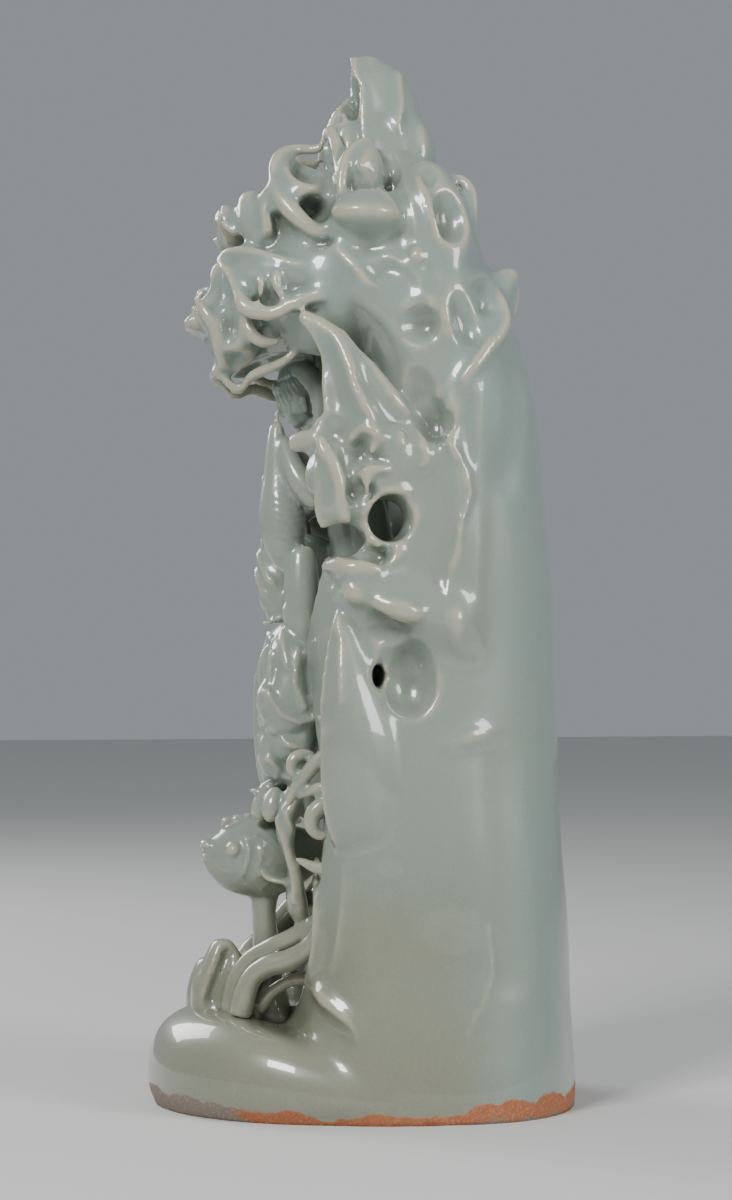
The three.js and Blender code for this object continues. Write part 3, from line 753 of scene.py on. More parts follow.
def grooves(piece, count, depth, above):  # combed hair round the head's upright axis
    where, outward = points(piece.data), normals(piece.data)
    angle = np.arctan2(where[:, 0], -where[:, 1] + 2)
    wave = np.cos(angle * count + 0.4 * np.sin(where[:, 2] * 0.9))
    amount = depth * wave * ease(above - 1, above + 0.6, where[:, 2] - 0.55 * where[:, 1] - 0.03 * where[:, 0] ** 2)
    place(piece.data, where + amount[:, None] * outward)


def bothSides(strokes):
    return strokes + [(rise, reach, *[(-x, y, z) for x, y, z in path]) for rise, reach, *path in strokes]


def head():
    v = figureValues
    r = v["headRadius"]
    face = [
        lump((0, 0, 0), (r * 0.76, r * 0.88, r * 1.02)),
        lump((0, -1.5, -4.5), (r * 0.6, r * 0.68, r * 0.66)),
        form([(0, -8.4, 3.4), (0, -9.4, 0.8), (0, -10.3, -1.4)], [0.7, 0.9, 1.2], [0.8, 1.1, 1.3], blunt=0.5),
        lump((0, -9.3, -1.9), (1.7, 1.1, 0.8)),
        lump((0, 1, -12), (5.6, 5.6, 7)),
    ]
    for s in (-1, 1):
        face.append(form([(s * 7.7, 0.2, 2), (s * 8.6, 0.4, 0), (s * 8, 0, -3), (s * 7.4, -0.4, -5.6)], [1.1, 1.1, 1, 1.1], [1.8, 2.2, 1.4, 1.2]))
    skull = weld(gather("face", face), v["headVoxel"])
    relax(skull, 3)
    sculpt(skull, bothSides([
        (-1.1, 3.2, (2.2, -8.6, 1.2), (4.6, -7.4, 1.2)),
        (0.45, 3.6, (4.7, -6.2, -2.8), (4.4, -6.4, -3.4)),
        (0.6, 1.7, (1.9, -8.2, 0.5), (3.2, -8, 0.3), (4.7, -7, 0.6)),
        (-0.35, 1.6, (0.9, -8.6, -3.4), (2.6, -7.9, -3.2)),
        (-0.5, 1.3, (8.8, -0.6, 0.6), (8.8, -0.2, -1.6)),
    ]) + [
        (0.7, 2.6, (0, -7, -9.2), (0, -7.4, -9)),
        (-0.3, 1.2, (-1.8, -7.8, -6.6), (1.8, -7.8, -6.6)),
    ])
    sculpt(skull, bothSides([
        (0.4, 1.1, (1, -9, 2.6), (3.2, -8.4, 3.5), (5.6, -6.6, 2.9)),
        (-0.4, 0.65, (1.5, -8.6, -0.1), (3.1, -8.4, -0.6), (4.9, -7.1, -0.1)),
        (0.55, 0.85, (0, -8.6, -4.1), (0.7, -8.6, -3.9), (2, -8.1, -4.5)),
        (-0.35, 0.5, (0, -8.8, -4.75), (0.8, -8.7, -4.7), (2.2, -8.1, -4.6)),
        (-0.3, 0.6, (0.6, -10.2, -2.4), (0.9, -10, -2.4)),
    ]) + [(0.6, 1, (-1.2, -8.5, -5.5), (0, -8.6, -5.7), (1.2, -8.5, -5.5))], True)
    relax(skull, 1)
    hair = weld(gather("hair", [
        lump((0, 1.3, 3.4), (r * 0.82, r * 0.94, r * 0.9)),
        form([(0, 2, 9), (0, 2.4, 12.5), (0, 2, 16)], [5.4, 6, 4], [5.4, 6, 4], blunt=0.5),
    ]), v["headVoxel"])
    clear = form([(0, -11, 4.4), (0, -4, 3), (0, 2, 0), (0, 6, -4)], [8.2, 9.6, 9, 8], [5, 7.6, 8, 8], blunt=0.3)
    cut(hair, gather("clear", [clear]))
    weld(hair, v["headVoxel"])
    grooves(hair, 26, 0.3, 3)
    band = form([(x, 2 + y, 10.2) for x, y in [(6 * math.cos(a), 6 * math.sin(a)) for a in np.linspace(-2.6, -0.54, 7)]], [0.9] * 7, [1.1] * 7, side=(0, 0, 1))
    crown = [
        lump((0, -6.3, 9.6), (2.2, 1.2, 3.2), (-18, 0, 0)),
        lump((0, -7.1, 9.2), (1, 0.8, 1.4), (-18, 0, 0)),
        lump((-3.6, -5.6, 8.6), (1.5, 1, 2.1), (-14, 0, -24)),
        lump((3.6, -5.6, 8.6), (1.5, 1, 2.1), (-14, 0, 24)),
        band,
    ]
    whole = weld(gather("head", [skull, hair] + crown), v["headVoxel"])
    pool(whole, 3)
    turn = Matrix.Rotation(math.radians(v["bow"]), 4, "X")
    whole.data.transform(Matrix.Translation(v["headCentre"]) @ turn)
    return whole


def hood():
    x, y, z = figureValues["headCentre"]
    outer = form(
        [(x, y + 8, z - 20), (x, y + 8.5, z - 10), (x, y + 8.5, z - 2), (x, y + 6, z + 6), (x, y, z + 12), (x, y - 7, z + 13)],
        [13, 11, 11.6, 11.4, 10, 6], [8, 7.4, 8, 8, 7, 3], blunt=0.45,
    )
    inner = form(
        [(x, y - 1, z - 22), (x, y + 1, z - 10), (x, y + 1, z - 2), (x, y - 1, z + 5), (x, y - 6, z + 9)],
        [9, 9, 9.6, 9.2, 7], [11, 10, 9, 8, 6], blunt=0.4,
    )
    shell = weld(gather("hood", [outer]), 0.8)
    cut(shell, gather("inner", [inner]))
    strut = form([(x, y + 5, z + 8), (x, y + 5, z + 18), (x, y + 6, z + 34)], [3, 2.4, 3], [3, 2.4, 3])
    return gather("hood", [shell, strut])


def sleeve():
    bag = weld(gather("sleeve", [
        form(
            [(14, -38.5, 293), (14, -38.5, 284), (15, -38, 272), (16, -37, 262), (17, -36.5, 250), (18, -35, 238), (20, -31, 227)],
            [5, 6, 7, 8.5, 10, 9.5, 6], [4, 5, 6.5, 9, 10.5, 9, 4], blunt=0.4,
        ),
    ]), 0.7)
    mouth = form([(27, -28, 266), (28, -30, 256), (28.5, -30, 245), (28, -28, 236)], [3, 5, 5.5, 3], [4, 7, 7.5, 4])
    cut(bag, gather("mouth", [mouth]))
    weld(bag, 0.7)
    ribs = [(0.55, 1.1, (-45, z), (-38, z - 1.6), (-31, z)) for z in range(236, 262, 3)]
    draw(bag, 60, ribs, (), past=14)
    return bag


# Folds of the robe: (rise, reach, points), the ridges sharp and the hollows soft
robeRidges = bothSides([
    (1.6, 3, (4, -22, 276), (12, -22, 282), (18, -14, 286)),
    (1.3, 2.4, (2, -22, 262), (9, -22, 268), (17, -17, 272)),
]) + [
    (1.6, 3, (-18, -20, 280), (-8, -24, 266), (4, -26, 250), (14, -26, 238)),
    (1.4, 2.6, (-14, -20, 272), (-6, -22, 256), (4, -24, 240), (12, -26, 228)),
    (2, 3.4, (-25, -42, 240), (-14, -38, 226), (0, -34, 219), (16, -34, 218)),
    (2, 3.4, (-24, -42, 230), (-12, -40, 217), (2, -36, 210), (18, -38, 209)),
    (1.8, 3, (-22, -40, 220), (-10, -40, 209), (4, -38, 202), (20, -42, 199)),
    (1.6, 3, (-34, -30, 246), (-36, -32, 232), (-36, -32, 214)),
    (1.6, 3, (-38, -24, 246), (-40, -24, 230), (-40, -24, 212)),
    (2, 3, (14, -44, 196), (16, -46, 178), (15, -46, 160), (12, -44, 140)),
    (2, 3, (21, -46, 196), (23, -48, 176), (23, -46, 156), (20, -44, 138)),
    (2, 3, (29, -42, 194), (32, -44, 174), (32, -42, 152), (29, -40, 136)),
    (1.6, 2.6, (7, -40, 202), (9, -46, 182), (8, -46, 160), (7, -44, 138)),
]
robeSide = [
    (2, 3.4, (-41, 213), (-42, 200), (-40, 190)),
    (2.4, 3.6, (-48, 178), (-42, 169), (-35, 166), (-28, 168)),
    (2, 3, (-47, 164), (-40, 157), (-32, 154)),
    (2, 3, (-48, 151), (-41, 144), (-33, 141)),
    (2, 3, (-36, 196), (-37, 182), (-33, 172)),
    (1.4, 2.4, (-44, 138), (-36, 133), (-30, 131)),
]
robeSideHollows = [
    (-2, 4, (-45, 190), (-47, 182)),
    (-2, 4, (-44, 160), (-36, 160)),
    (-2, 4, (-40, 149), (-34, 148)),
    (-2.4, 4, (-31, 190), (-30, 178)),
]


def guanyin():
    v = figureValues
    round12 = dict(blunt=0.55)
    trunk = form([(0, 4, 200), (0, 3, 220), (0, 1, 240), (0, -3, 260), (0, -8, 276), (0, -12, 286)],
                 [31, 25, 21, 21, 24, 17], [22, 17, 14, 13, 11, 8], blunt=0.5)
    neck = form([(0, -8, 276), (0, -13, 287), (0, -20, 296)], [6.5, 5.6, 5.4], [6.5, 5.6, 5.4])
    arms = [
        form([(18, -8, 279), (26, -14, 268), (28, -23, 257)], [9, 9, 8], [9, 9, 8]),
        form([(28, -21, 257), (24, -31, 270), (15, -37, 288)], [7, 5.4, 3.6], [7, 5.4, 3.6]),
        form([(-18, -8, 279), (-28, -14, 267), (-32, -22, 255)], [9, 9, 8], [9, 9, 8]),
        form([(-32, -20, 257), (-29, -27, 254), (-24, -33, 251)], [6.5, 6.5, 4], [6, 6, 3.6]),
        form([(-31, -24, 255), (-35, -26, 238), (-35, -25, 213)], [8, 10, 6], [8, 10, 7]),
    ]
    folk = [
        form([(-12, 2, 218), (-20, -16, 232), (-25, -33, 243)], [13, 13, 10], [13, 12, 9]),
        form([(-25, -32, 244), (-22, -32, 228), (-17, -32, 207)], [10, 10, 10], [9, 10, 9]),
        form([(-25, -13, 216), (0, -19, 213), (25, -15, 214)], [12, 14, 12], [13, 15, 13], side=(0, 0, 1)),
        form([(12, 0, 214), (18, -20, 206), (21, -34, 196)], [13, 12, 10], [12, 11, 10]),
        form([(21, -32, 203), (25, -33, 190), (27, -34, 172), (27, -33, 155), (25, -33, 138)], [11, 12, 13, 12, 8], [11, 12, 13.5, 12, 8], blunt=0.45),
        form([(10, -34, 206), (8, -40, 190), (6, -41, 172), (6, -41, 152), (8, -39, 132)], [10, 12, 11, 10, 8], [5, 6, 6, 5.5, 4], blunt=0.4),
        form([(22, -29, 240), (24, -29, 222), (25, -29, 206), (25, -28, 193)], [8, 8.5, 8, 4], [8, 8, 7, 5], blunt=0.45),
        form([(29, -42, 183), (31, -44, 174), (31, -42, 166)], [5, 6, 5], [5, 6, 4]),
        form([(26, -42, 162), (27, -43, 152), (26, -41, 142)], [7, 8, 6], [5, 6, 5]),
    ]
    robe = weld(gather("robe", [trunk, neck] + arms + folk), 1)
    relax(robe, 5)
    draw(robe, 60, (), robeSideHollows, past=10)
    sculpt(robe, robeRidges)
    draw(robe, 60, robeSide, (), past=12)
    sculpt(robe, bothSides([(1.2, 1.8, (2.5, -20, 284), (8, -19, 287), (13, -13, 291)), (0.8, 1.2, (0, -21, 280), (5, -20.5, 282), (10, -16, 286))]), True)
    lotus = [lump((19 + 11 * math.cos(a), -34 + 11 * math.sin(a), 130), (4.6, 4.6, 8), (22 * math.sin(a), 22 * -math.cos(a), 0), 4)
             for a in np.linspace(0, 2 * math.pi, 9)[:-1]]
    feet = [
        form([(20, -30, 141), (18, -38, 139), (17, -46, 136.5)], [4.6, 4.6, 3.2], [4, 3.2, 2.2]),
        form([(-17, -25, 212), (-14, -31, 210), (-12, -37, 208)], [4.6, 4.6, 3.2], [4, 3.2, 2.2]),
    ]
    for ankle, toes in ((17, (-49, 135.5)), (-12, (-40, 207))):
        feet += [lump((ankle + (k - 2) * 1.3, toes[0] + abs(k - 1.4) * 0.5, toes[1]), (0.75, 2, 1), (0, 0, 0), 3) for k in range(5)]
    hands = [form([(-25, -31, 252), (-23, -36, 249.5), (-21.5, -39, 246)], [3.2, 3.6, 3], [2.4, 2, 1.6])]
    hands += [form([(-24 + k * 1.5, -38, 247), (-23.4 + k * 1.5, -40.4, 243), (-23 + k * 1.5, -40.2, 239 + abs(k - 1.5))], [0.9, 0.9, 0.7], [0.9, 0.9, 0.7], sides=12, rings=12) for k in range(4)]
    hands += [form([(15, -37, 285), (14, -38.5, 290), (13, -38, 294)], [2.8, 3.2, 2.6], [2.2, 2, 1.6])]
    hands += [form([(10.6 + k * 1.4, -38, 293), (10.2 + k * 1.4, -38.4, 297), (10 + k * 1.2, -37, 300.5 - abs(k - 1.2))], [0.9, 0.85, 0.6], [0.9, 0.85, 0.6], sides=12, rings=12) for k in range(4)]
    beads = [lump((x, -20.5 + abs(x) * 0.28, 276.5 + x * x * 0.05), (1.1, 1.1, 1.1), (0, 0, 0), 3) for x in range(-12, 13, 2)]
    beads.append(lump((0, -21, 272.5), (1.8, 1.2, 2.4), (0, 0, 0), 3))
    body = gather("seated_guanyin", [robe, sleeve(), hood()] + lotus + feet + hands + beads)
    weld(body, v["voxel"])
    pool(body, 6)
    cut(body, head(), "UNION")
    pool(body, 2)
    return body


# Fish and waves

waterValues = {
    "fish": (6, -50, 106),
    "voxel": 0.85,
    "faces": 100000,
    "scale": 4.2,
}


def scales(piece, size, rise, clear):
    where, outward = points(piece.data), normals(piece.data)
    x, y, z = waterValues["fish"]
    along, up = where[:, 1] - y, where[:, 2] - z
    best = np.full(len(where), 9.0)
    for shift in (0, 0.5):
        row = np.round(along / size - shift) + shift
        column = np.round(up / size - shift) + shift
        best = np.minimum(best, np.hypot(along / size - row - 0.15, up / size - column))
    amount = rise * (1 - (best / 0.5) ** 2) * ease(clear, clear + 4, along) * ease(0.1, 0.5, np.abs(outward[:, 0]))
    place(piece.data, where + amount[:, None] * outward)


def fish():
    v = waterValues
    x, y, z = v["fish"]
    body = [
        form(
            [(x, y - 19, z + 2), (x, y - 12, z + 1), (x, y - 4, z), (x, y + 6, z), (x, y + 18, z + 1), (x, y + 34, z + 5)],
            [6, 11, 13.5, 14.5, 13, 9], [8, 13, 16, 17.5, 16, 10], blunt=0.5,
        ),
        lump((x, y - 17.5, z + 5.6), (5.4, 3.6, 2.6), (-18, 0, 0)),
        lump((x, y - 17, z + 0.4), (5, 3.6, 2.4), (14, 0, 0)),
    ]
    whole = weld(gather("fish", body), 0.8)
    relax(whole, 4)
    scales(whole, v["scale"], 0.8, 1)
    near, far = [], []
    for s, strokes in ((1, near), (-1, far)):
        strokes += [
            (1.6, 2.4, (x + s * 12, y - 7, z - 12), (x + s * 14, y - 3, z - 4), (x + s * 14, y - 1, z + 4), (x + s * 12, y - 3, z + 11)),
            (1.2, 1.8, (x + s * 13, y + 1, z - 10), (x + s * 15, y + 3, z - 3), (x + s * 15, y + 4, z + 5)),
            (1.2, 2.2, (x + s * 10, y - 12, z + 6), (x + s * 12, y - 6, z + 9), (x + s * 12, y + 2, z + 9)),
            (1, 1.6, (x + s * 9, y - 13, z - 4), (x + s * 12, y - 8, z - 6)),
        ]
    sculpt(whole, near + far, True)
    sculpt(whole, [(-2.6, 1.8, (x - 6, y - 18, z + 3), (x, y - 21.5, z + 3), (x + 6, y - 18, z + 3))])
    parts = [whole]
    for s in (-1, 1):
        parts += [
            lump((x + s * 10.6, y - 7, z + 4), (3, 3.8, 3.8), (0, 0, 0), 4),
            lump((x + s * 13, y - 7.2, z + 4), (1.4, 2.2, 2.2), (0, 0, 0), 4),
            form(
                [(x + s * 11, y + 5, z - 5), (x + s * 17, y + 11, z - 8), (x + s * 21, y + 18, z - 10)],
                [1.8, 1.8, 1.2], [3.4, 7, 5], side=(0, 0, 1), blunt=0.45,
            ),
        ]
    for k in range(6):
        parts.append(lump((x, y - 9 + k * 4.6, z + 15 + 1.6 * math.sin(k * 0.7)), (1.4, 3, 3), (0, 0, 0), 4))
    return parts


def curl(x, y, z, size, hand, turns=(-1.2, 4.6), thick=(3.8, 4.2, 3.6, 2.4)):
    path = []
    for t in np.linspace(0, 1, 9):
        angle = turns[0] + (turns[1] - turns[0]) * t
        reach = size * (1 - 0.72 * t)
        path.append((x + hand * 2.5 * t, y + reach * math.cos(angle), z + reach * math.sin(angle)))
    return form(path, thick, thick, blunt=0.4, rings=70)


def water():
    v = waterValues
    x, y, z = v["fish"]
    tail = weld(gather("tail", [form(
        [(33, -33, 133), (32, -36, 127), (31, -37, 119), (30.5, -35.5, 110), (31, -33, 101), (31, -32.5, 92), (30.5, -31.5, 86), (30, -30, 79)],
        [8, 8.5, 7.5, 6.5, 7.5, 9, 9, 6], [4, 5, 4.2, 2.6, 3, 4.4, 5, 3.6], blunt=0.4, sides=60, rings=60,
    )]), 0.7)
    draw(tail, 25, [(1.4, 2, (-40, 124), (-36, 112), (-33, 100), (-32, 88)), (1.2, 1.8, (-36, 126), (-32, 116), (-30, 104))], ())
    stems = [
        form([(46, -19, 90), (43, -23, 78), (40, -28, 70), (36, -36, 64.5), (32, -45, 61.5), (29, -52, 55), (27, -56, 40)],
             [6.5, 5, 4.6, 4.8, 4.8, 5, 7], [6.5, 5, 4.6, 4.8, 4.8, 5, 7], blunt=0.3),
        form([(36, -20, 82), (30, -32, 74), (25, -41, 69), (20, -50, 63), (17, -56, 54), (16, -58, 40)],
             [6, 4.8, 4.6, 4.6, 5, 7], [6, 4.8, 4.6, 4.6, 5, 7], blunt=0.3),
        form([(30, -24, 56), (28, -34, 55), (25, -42, 50), (22, -48, 42)], [4, 2.8, 2.8, 4], [4, 2.8, 2.8, 4], blunt=0.3),
        form([(-46, -20, 84), (-38, -34, 70), (-30, -46, 60), (-26, -54, 38)], [6, 4.8, 4.8, 6.5], [6, 4.8, 4.8, 6.5], blunt=0.3),
        form([(-44, -22, 62), (-40, -36, 54), (-38, -48, 44), (-37, -52, 36)], [5, 4, 4, 6], [5, 4, 4, 6], blunt=0.3),
        form([(x, y + 8, z - 12), (x, y + 7, 84), (x, y + 8, 70), (x + 1, y + 9, 52), (x + 2, y + 10, 34)],
             [8, 6, 6.2, 7.5, 12], [8, 5.6, 5.8, 7.5, 12], blunt=0.3),
    ]
    slabs = weld(gather("slabs", [
        form([(5, -58, 30), (5, -61, 46), (5, -60.5, 58), (5, -61, 71)], [10, 9.5, 9, 6.5], [17, 14, 11, 5.5], blunt=0.4, power=2.4),
        form([(-30, -58, 30), (-30, -61, 44), (-30, -62, 60)], [10, 9, 7], [15, 12, 7], blunt=0.4, power=2.4),
    ]), 0.8)
    draw(slabs, 25, (), [(-3.5, 4.5, (-61, 66), (-65, 56), (-68, 47))], past=5)
    curls = [
        curl(49, -22, 122, 14, 1),
        curl(50, -16, 145, 11, 1, (-0.6, 4.4), (3.4, 3.8, 3, 2)),
        curl(44, -32, 146, 7, 1, (0.4, 5.4), (2.6, 2.8, 2.2, 1.6)),
        form([(52, -10, 152), (50, -22, 152), (46, -33, 140), (44, -38, 130)], [2, 3, 3, 1.6], [2, 3.2, 3, 1.6], blunt=0.4),
        form([(52, -6, 134), (53, -14, 134), (51, -24, 138), (46, -34, 134)], [1.6, 2.4, 2.6, 1.4], [1.8, 3, 3, 1.6], blunt=0.4),
        form([(54, -4, 112), (53, -12, 106), (48, -24, 104), (42, -34, 108)], [1.6, 2.4, 2.6, 1.4], [2, 3, 3, 1.6], blunt=0.4),
        curl(-49, -18, 122, 13, -1),
        curl(-47, -22, 98, 10, -1, (-0.4, 4.2)),
        form([(-52, -8, 142), (-51, -20, 140), (-46, -32, 134)], [2, 3, 1.8], [2, 3.2, 1.8], blunt=0.4),
    ]
    whole = weld(gather("fish_and_waves", fish() + [tail, slabs] + stems + curls), v["voxel"])
    pool(whole, 7)
    return whole


# Surface values kept on the points: crests where the glaze is thin, and hollows where it pools thick and where shade is
# painted


def keepRelief(piece, fineSteps=6, broadSteps=60):
    mesh = piece.data
    web = Web(mesh)
    outward = normals(mesh)
    start = points(mesh)
    where = start.copy()
    for step in range(broadSteps):
        where += 0.5 * (web.mean(where) - where)
        if step + 1 == fineSteps:
            fine = ((start - where) * outward).sum(1)
    broad = ((start - where) * outward).sum(1)
    for name, value in (("crest", fine), ("bulge", broad)):
        for _ in range(3):
            value = 0.5 * (value + web.mean(value))
        layer = mesh.attributes.new(name, "FLOAT", "POINT")
        layer.data.foreach_set("value", value)


def thin(piece, faces):
    count = sum(len(p.vertices) - 2 for p in piece.data.polygons)
    if count > faces:
        decimate = piece.modifiers.new("thin", "DECIMATE")
        decimate.ratio = faces / count
        settle(piece)


def finishPiece(piece, faces, voxelFoot=0):
    where = points(piece.data)
    if voxelFoot:
        low = where[:, 2] < voxelFoot
        where[low, 2] = 0
        place(piece.data, where)
    keepRelief(piece)
    thin(piece, faces)
    piece.data.transform(Matrix.Scale(metresPerMm, 4))
    piece.data.materials.clear()
    for polygon in piece.data.polygons:
        polygon.use_smooth = True
        polygon.material_index = 0


# Glaze

glazeValues = {
    "sea": (0.235, 0.285, 0.238, 1),  # the usual grey sea green
    "blue": (0.215, 0.285, 0.26, 1),  # bluer towards the back and the top
    "olive": (0.205, 0.21, 0.145, 1),  # darker olive towards the bottom and the front
    "deep": (0.085, 0.1, 0.07, 1),  # darker in the hollows: glaze pooled thick there, and painted shade in the recesses
    "cream": (0.43, 0.405, 0.3, 1),  # thin on the crests, where the clay shows through
    "clay": (0.36, 0.115, 0.045, 1),  # bare clay that fired red
    "ash": (0.2, 0.165, 0.135, 1),  # bare clay that stayed grey
    "roughness": 0.3,
    "coat": 1,
}


class Tree:  # short calls for the nodes of one material
    def __init__(self, material):
        material.use_nodes = True
        self.nodes = material.node_tree.nodes
        self.links = material.node_tree.links
        self.shader = self.nodes["Principled BSDF"]
        self.where = self.add("ShaderNodeTexCoord").outputs["Object"]
        self.axis = self.add("ShaderNodeSeparateXYZ", Vector=self.where).outputs

    def set(self, node, name, value):
        socket = node.inputs[name]
        if isinstance(value, bpy.types.NodeSocket):
            self.links.new(value, socket)
        else:
            socket.default_value = value

    def add(self, kind, props=None, **values):
        node = self.nodes.new(kind)
        for key, value in (props or {}).items():
            setattr(node, key, value)
        for name, value in values.items():
            self.set(node, name, value)
        return node

    def math(self, operation, a, b=0.0):
        node = self.add("ShaderNodeMath", {"operation": operation})
        self.set(node, 0, a)
        self.set(node, 1, b)
        return node.outputs[0]

    def ramp(self, value, low, high, start=0.0, end=1.0):  # eases from start to end
        node = self.add("ShaderNodeMapRange", {"interpolation_type": "SMOOTHSTEP"})
        for name, number in (("Value", value), ("From Min", low), ("From Max", high), ("To Min", start), ("To Max", end)):
            self.set(node, name, number)
        return node.outputs[0]

    def mix(self, amount, a, b):
        node = self.add("ShaderNodeMix", {"data_type": "RGBA"})
        self.set(node, 0, amount)
        self.set(node, 6, a)
        self.set(node, 7, b)
        return node.outputs[2]

    def noise(self, scale, detail=3.0, where=None, stretch=None):
        vector = where or self.where
        if stretch:
            vector = self.add("ShaderNodeMapping", Vector=vector, Scale=stretch).outputs[0]
        return self.add("ShaderNodeTexNoise", Vector=vector, Scale=scale, Detail=detail).outputs["Fac"]

    def relief(self, name):
        return self.add("ShaderNodeAttribute", {"attribute_name": name}).outputs["Fac"]

    def patch(self, centre, radii, turn=(0, 0, 0), blur=0.25):  # an uneven patch, places in millimetres
        mapping = self.add("ShaderNodeMapping", {"vector_type": "TEXTURE"}, Vector=self.ripple)
        mapping.inputs["Location"].default_value = [n * metresPerMm for n in centre]
        mapping.inputs["Rotation"].default_value = [math.radians(n) for n in turn]
        mapping.inputs["Scale"].default_value = [n * metresPerMm for n in radii]
        length = self.add("ShaderNodeVectorMath", {"operation": "LENGTH"})
        self.set(length, 0, mapping.outputs[0])
        return self.ramp(length.outputs["Value"], 1 + blur, 1 - blur)


def celadonGlaze():
    v = glazeValues
    material = bpy.data.materials.new("celadon_glaze")
    t = Tree(material)
    x, y, z = (t.axis[k] for k in "XYZ")
    wobble = t.add("ShaderNodeTexNoise", Vector=t.where, Scale=260.0, Detail=2.0).outputs["Color"]
    shift = t.add("ShaderNodeVectorMath", {"operation": "MULTIPLY_ADD"})
    t.set(shift, 0, wobble)
    t.set(shift, 1, (0.004, 0.004, 0.004))
    t.set(shift, 2, t.where)
    t.ripple = shift.outputs[0]
    crest, bulge = t.relief("crest"), t.relief("bulge")
    broad, middle, fine = t.noise(16.0), t.noise(70.0, 4.0), t.noise(900.0, 2.0)

    # How the glaze's colour drifts over the rock, with painted shade in its hollows
    # Bluer towards the back and the top, in broad patches
    blue = t.math("ADD", t.ramp(y, 0.015, 0.07, 0.0, 0.75), t.ramp(z, 0.2, 0.36, 0.0, 0.6))
    colour = t.mix(t.ramp(t.math("ADD", blue, t.math("SUBTRACT", broad, 0.5)), 0.1, 1.1), v["sea"], v["blue"])
    # Darker olive towards the bottom and the front, and in broad patches
    low = t.math("MULTIPLY", t.ramp(z, 0.17, 0.06), t.ramp(y, 0.075, 0.02))
    shade = t.math("ADD", low, t.math("MULTIPLY", t.math("SUBTRACT", broad, 0.5), 0.9))
    colour = t.mix(t.ramp(shade, 0.25, 1.1, 0.0, 0.85), colour, v["olive"])
    # Painted shade: the broad hollows and recesses darken towards the deep colour, both for thick pooled glaze and for
    # the shade that falls in them
    colour = t.mix(t.ramp(t.math("ADD", t.math("MULTIPLY", bulge, -1.0), t.math("MULTIPLY", t.math("SUBTRACT", middle, 0.5), 1.2)), 0.2, 2.4, 0.0, 0.9), colour, v["deep"])
    thin = t.math("ADD", t.math("MULTIPLY", crest, 4.0), t.math("MULTIPLY", bulge, 0.22))
    colour = t.mix(t.ramp(t.math("ADD", thin, t.math("MULTIPLY", t.math("SUBTRACT", middle, 0.5), 0.5)), 0.15, 1.25, 0.0, 0.9), colour, v["cream"])
    colour = t.mix(t.ramp(fine, 0.3, 0.75, 0.0, 0.12), colour, v["cream"])

    # The foot, where the glaze was wiped off
    edge = t.math("ADD", t.math("MULTIPLY", t.math("SUBTRACT", t.noise(45.0, 3.0), 0.5), 0.016), 0.0045)
    edge = t.math("ADD", edge, t.ramp(y, -0.05, -0.085, 0.0, 0.004))
    edge = t.math("ADD", edge, t.ramp(y, 0.015, 0.05, 0.0, 0.005))
    height = t.math("SUBTRACT", z, edge)
    bare = t.ramp(height, 0.0006, -0.0006)
    grey = t.math("ADD", t.ramp(y, -0.04, -0.075), t.ramp(height, -0.003, -0.009, 0.0, 0.7))
    grey = t.ramp(t.math("ADD", grey, t.math("SUBTRACT", middle, 0.5)), 0.35, 0.75)
    clay = t.mix(grey, v["clay"], v["ash"])
    clay = t.mix(t.ramp(fine, 0.45, 0.7, 0.0, 0.4), clay, (0.42, 0.3, 0.2, 1))
    colour = t.mix(bare, colour, clay)

    bump = t.add("ShaderNodeBump", Strength=0.25, Distance=0.0006)
    t.set(bump, "Height", t.math("ADD", middle, t.math("MULTIPLY", t.math("MULTIPLY", fine, bare), 1.2)))
    t.set(t.shader, "Base Color", colour)
    t.set(t.shader, "Normal", bump.outputs[0])
    t.set(t.shader, "Roughness", t.ramp(bare, 0.0, 1.0, v["roughness"], 0.8))
    t.set(t.shader, "Coat Weight", t.ramp(bare, 0.0, 1.0, v["coat"], 0.0))
    t.set(t.shader, "Coat Roughness", 0.04)
    t.set(t.shader, "IOR", 1.5)
    return material


# Stage


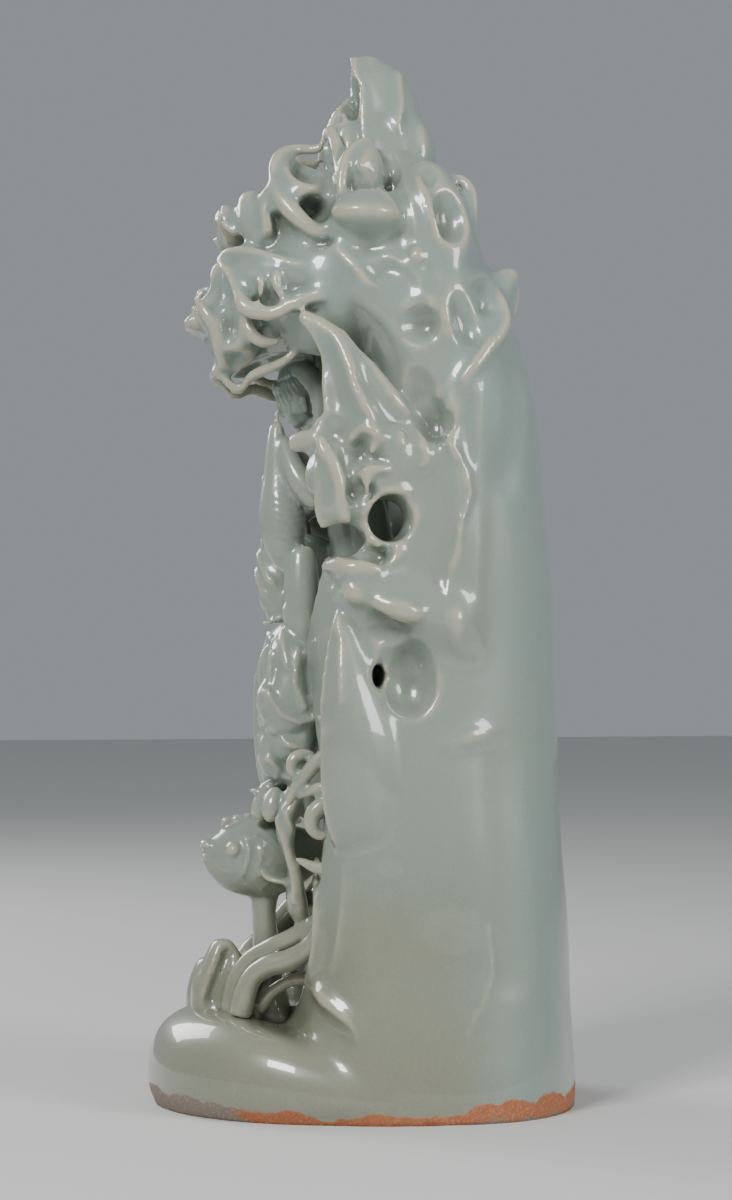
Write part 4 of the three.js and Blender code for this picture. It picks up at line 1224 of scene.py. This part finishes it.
def areaLight(name, where, size, power, aim=(0, 0, 0.22)):
    lamp = bpy.data.lights.new(name, "AREA")
    lamp.size = size
    lamp.energy = power
    holder = bpy.data.objects.new(name, lamp)
    holder.location = where
    holder.rotation_euler = (Vector(aim) - Vector(where)).to_track_quat("-Z", "Y").to_euler()
    bpy.context.scene.collection.objects.link(holder)


def stage():
    bm = bmesh.new()
    bmesh.ops.create_grid(bm, x_segments=1, y_segments=1, size=4)
    mesh = bpy.data.meshes.new("pale_floor")
    bm.to_mesh(mesh)
    bm.free()
    ground = bpy.data.objects.new("pale_floor", mesh)
    bpy.context.scene.collection.objects.link(ground)
    paint = bpy.data.materials.new("pale_floor")
    paint.use_nodes = True
    paint.node_tree.nodes["Principled BSDF"].inputs["Base Color"].default_value = (0.62, 0.62, 0.6, 1)
    paint.node_tree.nodes["Principled BSDF"].inputs["Roughness"].default_value = 0.7
    mesh.materials.append(paint)
    world = bpy.data.worlds.new("studio")
    bpy.context.scene.world = world
    world.use_nodes = True
    world.node_tree.nodes["Background"].inputs["Color"].default_value = (0.8, 0.85, 0.9, 1)
    world.node_tree.nodes["Background"].inputs["Strength"].default_value = 0.35
    areaLight("key", (1.1, -0.9, 1.3), 0.5, 26)
    areaLight("fill", (1.0, 1.1, 0.8), 0.6, 14)
    areaLight("far", (-1.1, -0.8, 0.9), 0.7, 12)
    camera = bpy.data.cameras.new("camera")
    camera.sensor_fit = "VERTICAL"
    camera.angle = 2 * math.atan(600 * 0.435 / lookDistance)
    holder = bpy.data.objects.new("camera", camera)
    holder.location = Vector(eye) * metresPerMm
    aim = Vector(lookTarget) - Vector(eye)
    holder.rotation_euler = aim.to_track_quat("-Z", "Y").to_euler()
    bpy.context.scene.collection.objects.link(holder)
    bpy.context.scene.camera = holder


glaze = celadonGlaze()
for make, faces in ((grottoRock, rockValues["faces"]), (guanyin, figureValues["faces"]), (water, waterValues["faces"])):
    piece = make()
    finishPiece(piece, faces, 0.8 if make is grottoRock else 0)
    piece.data.materials.append(glaze)
    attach(piece, "root")
    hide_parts("guanyin_grotto")
    print(piece.name, len(piece.data.polygons))
stage()
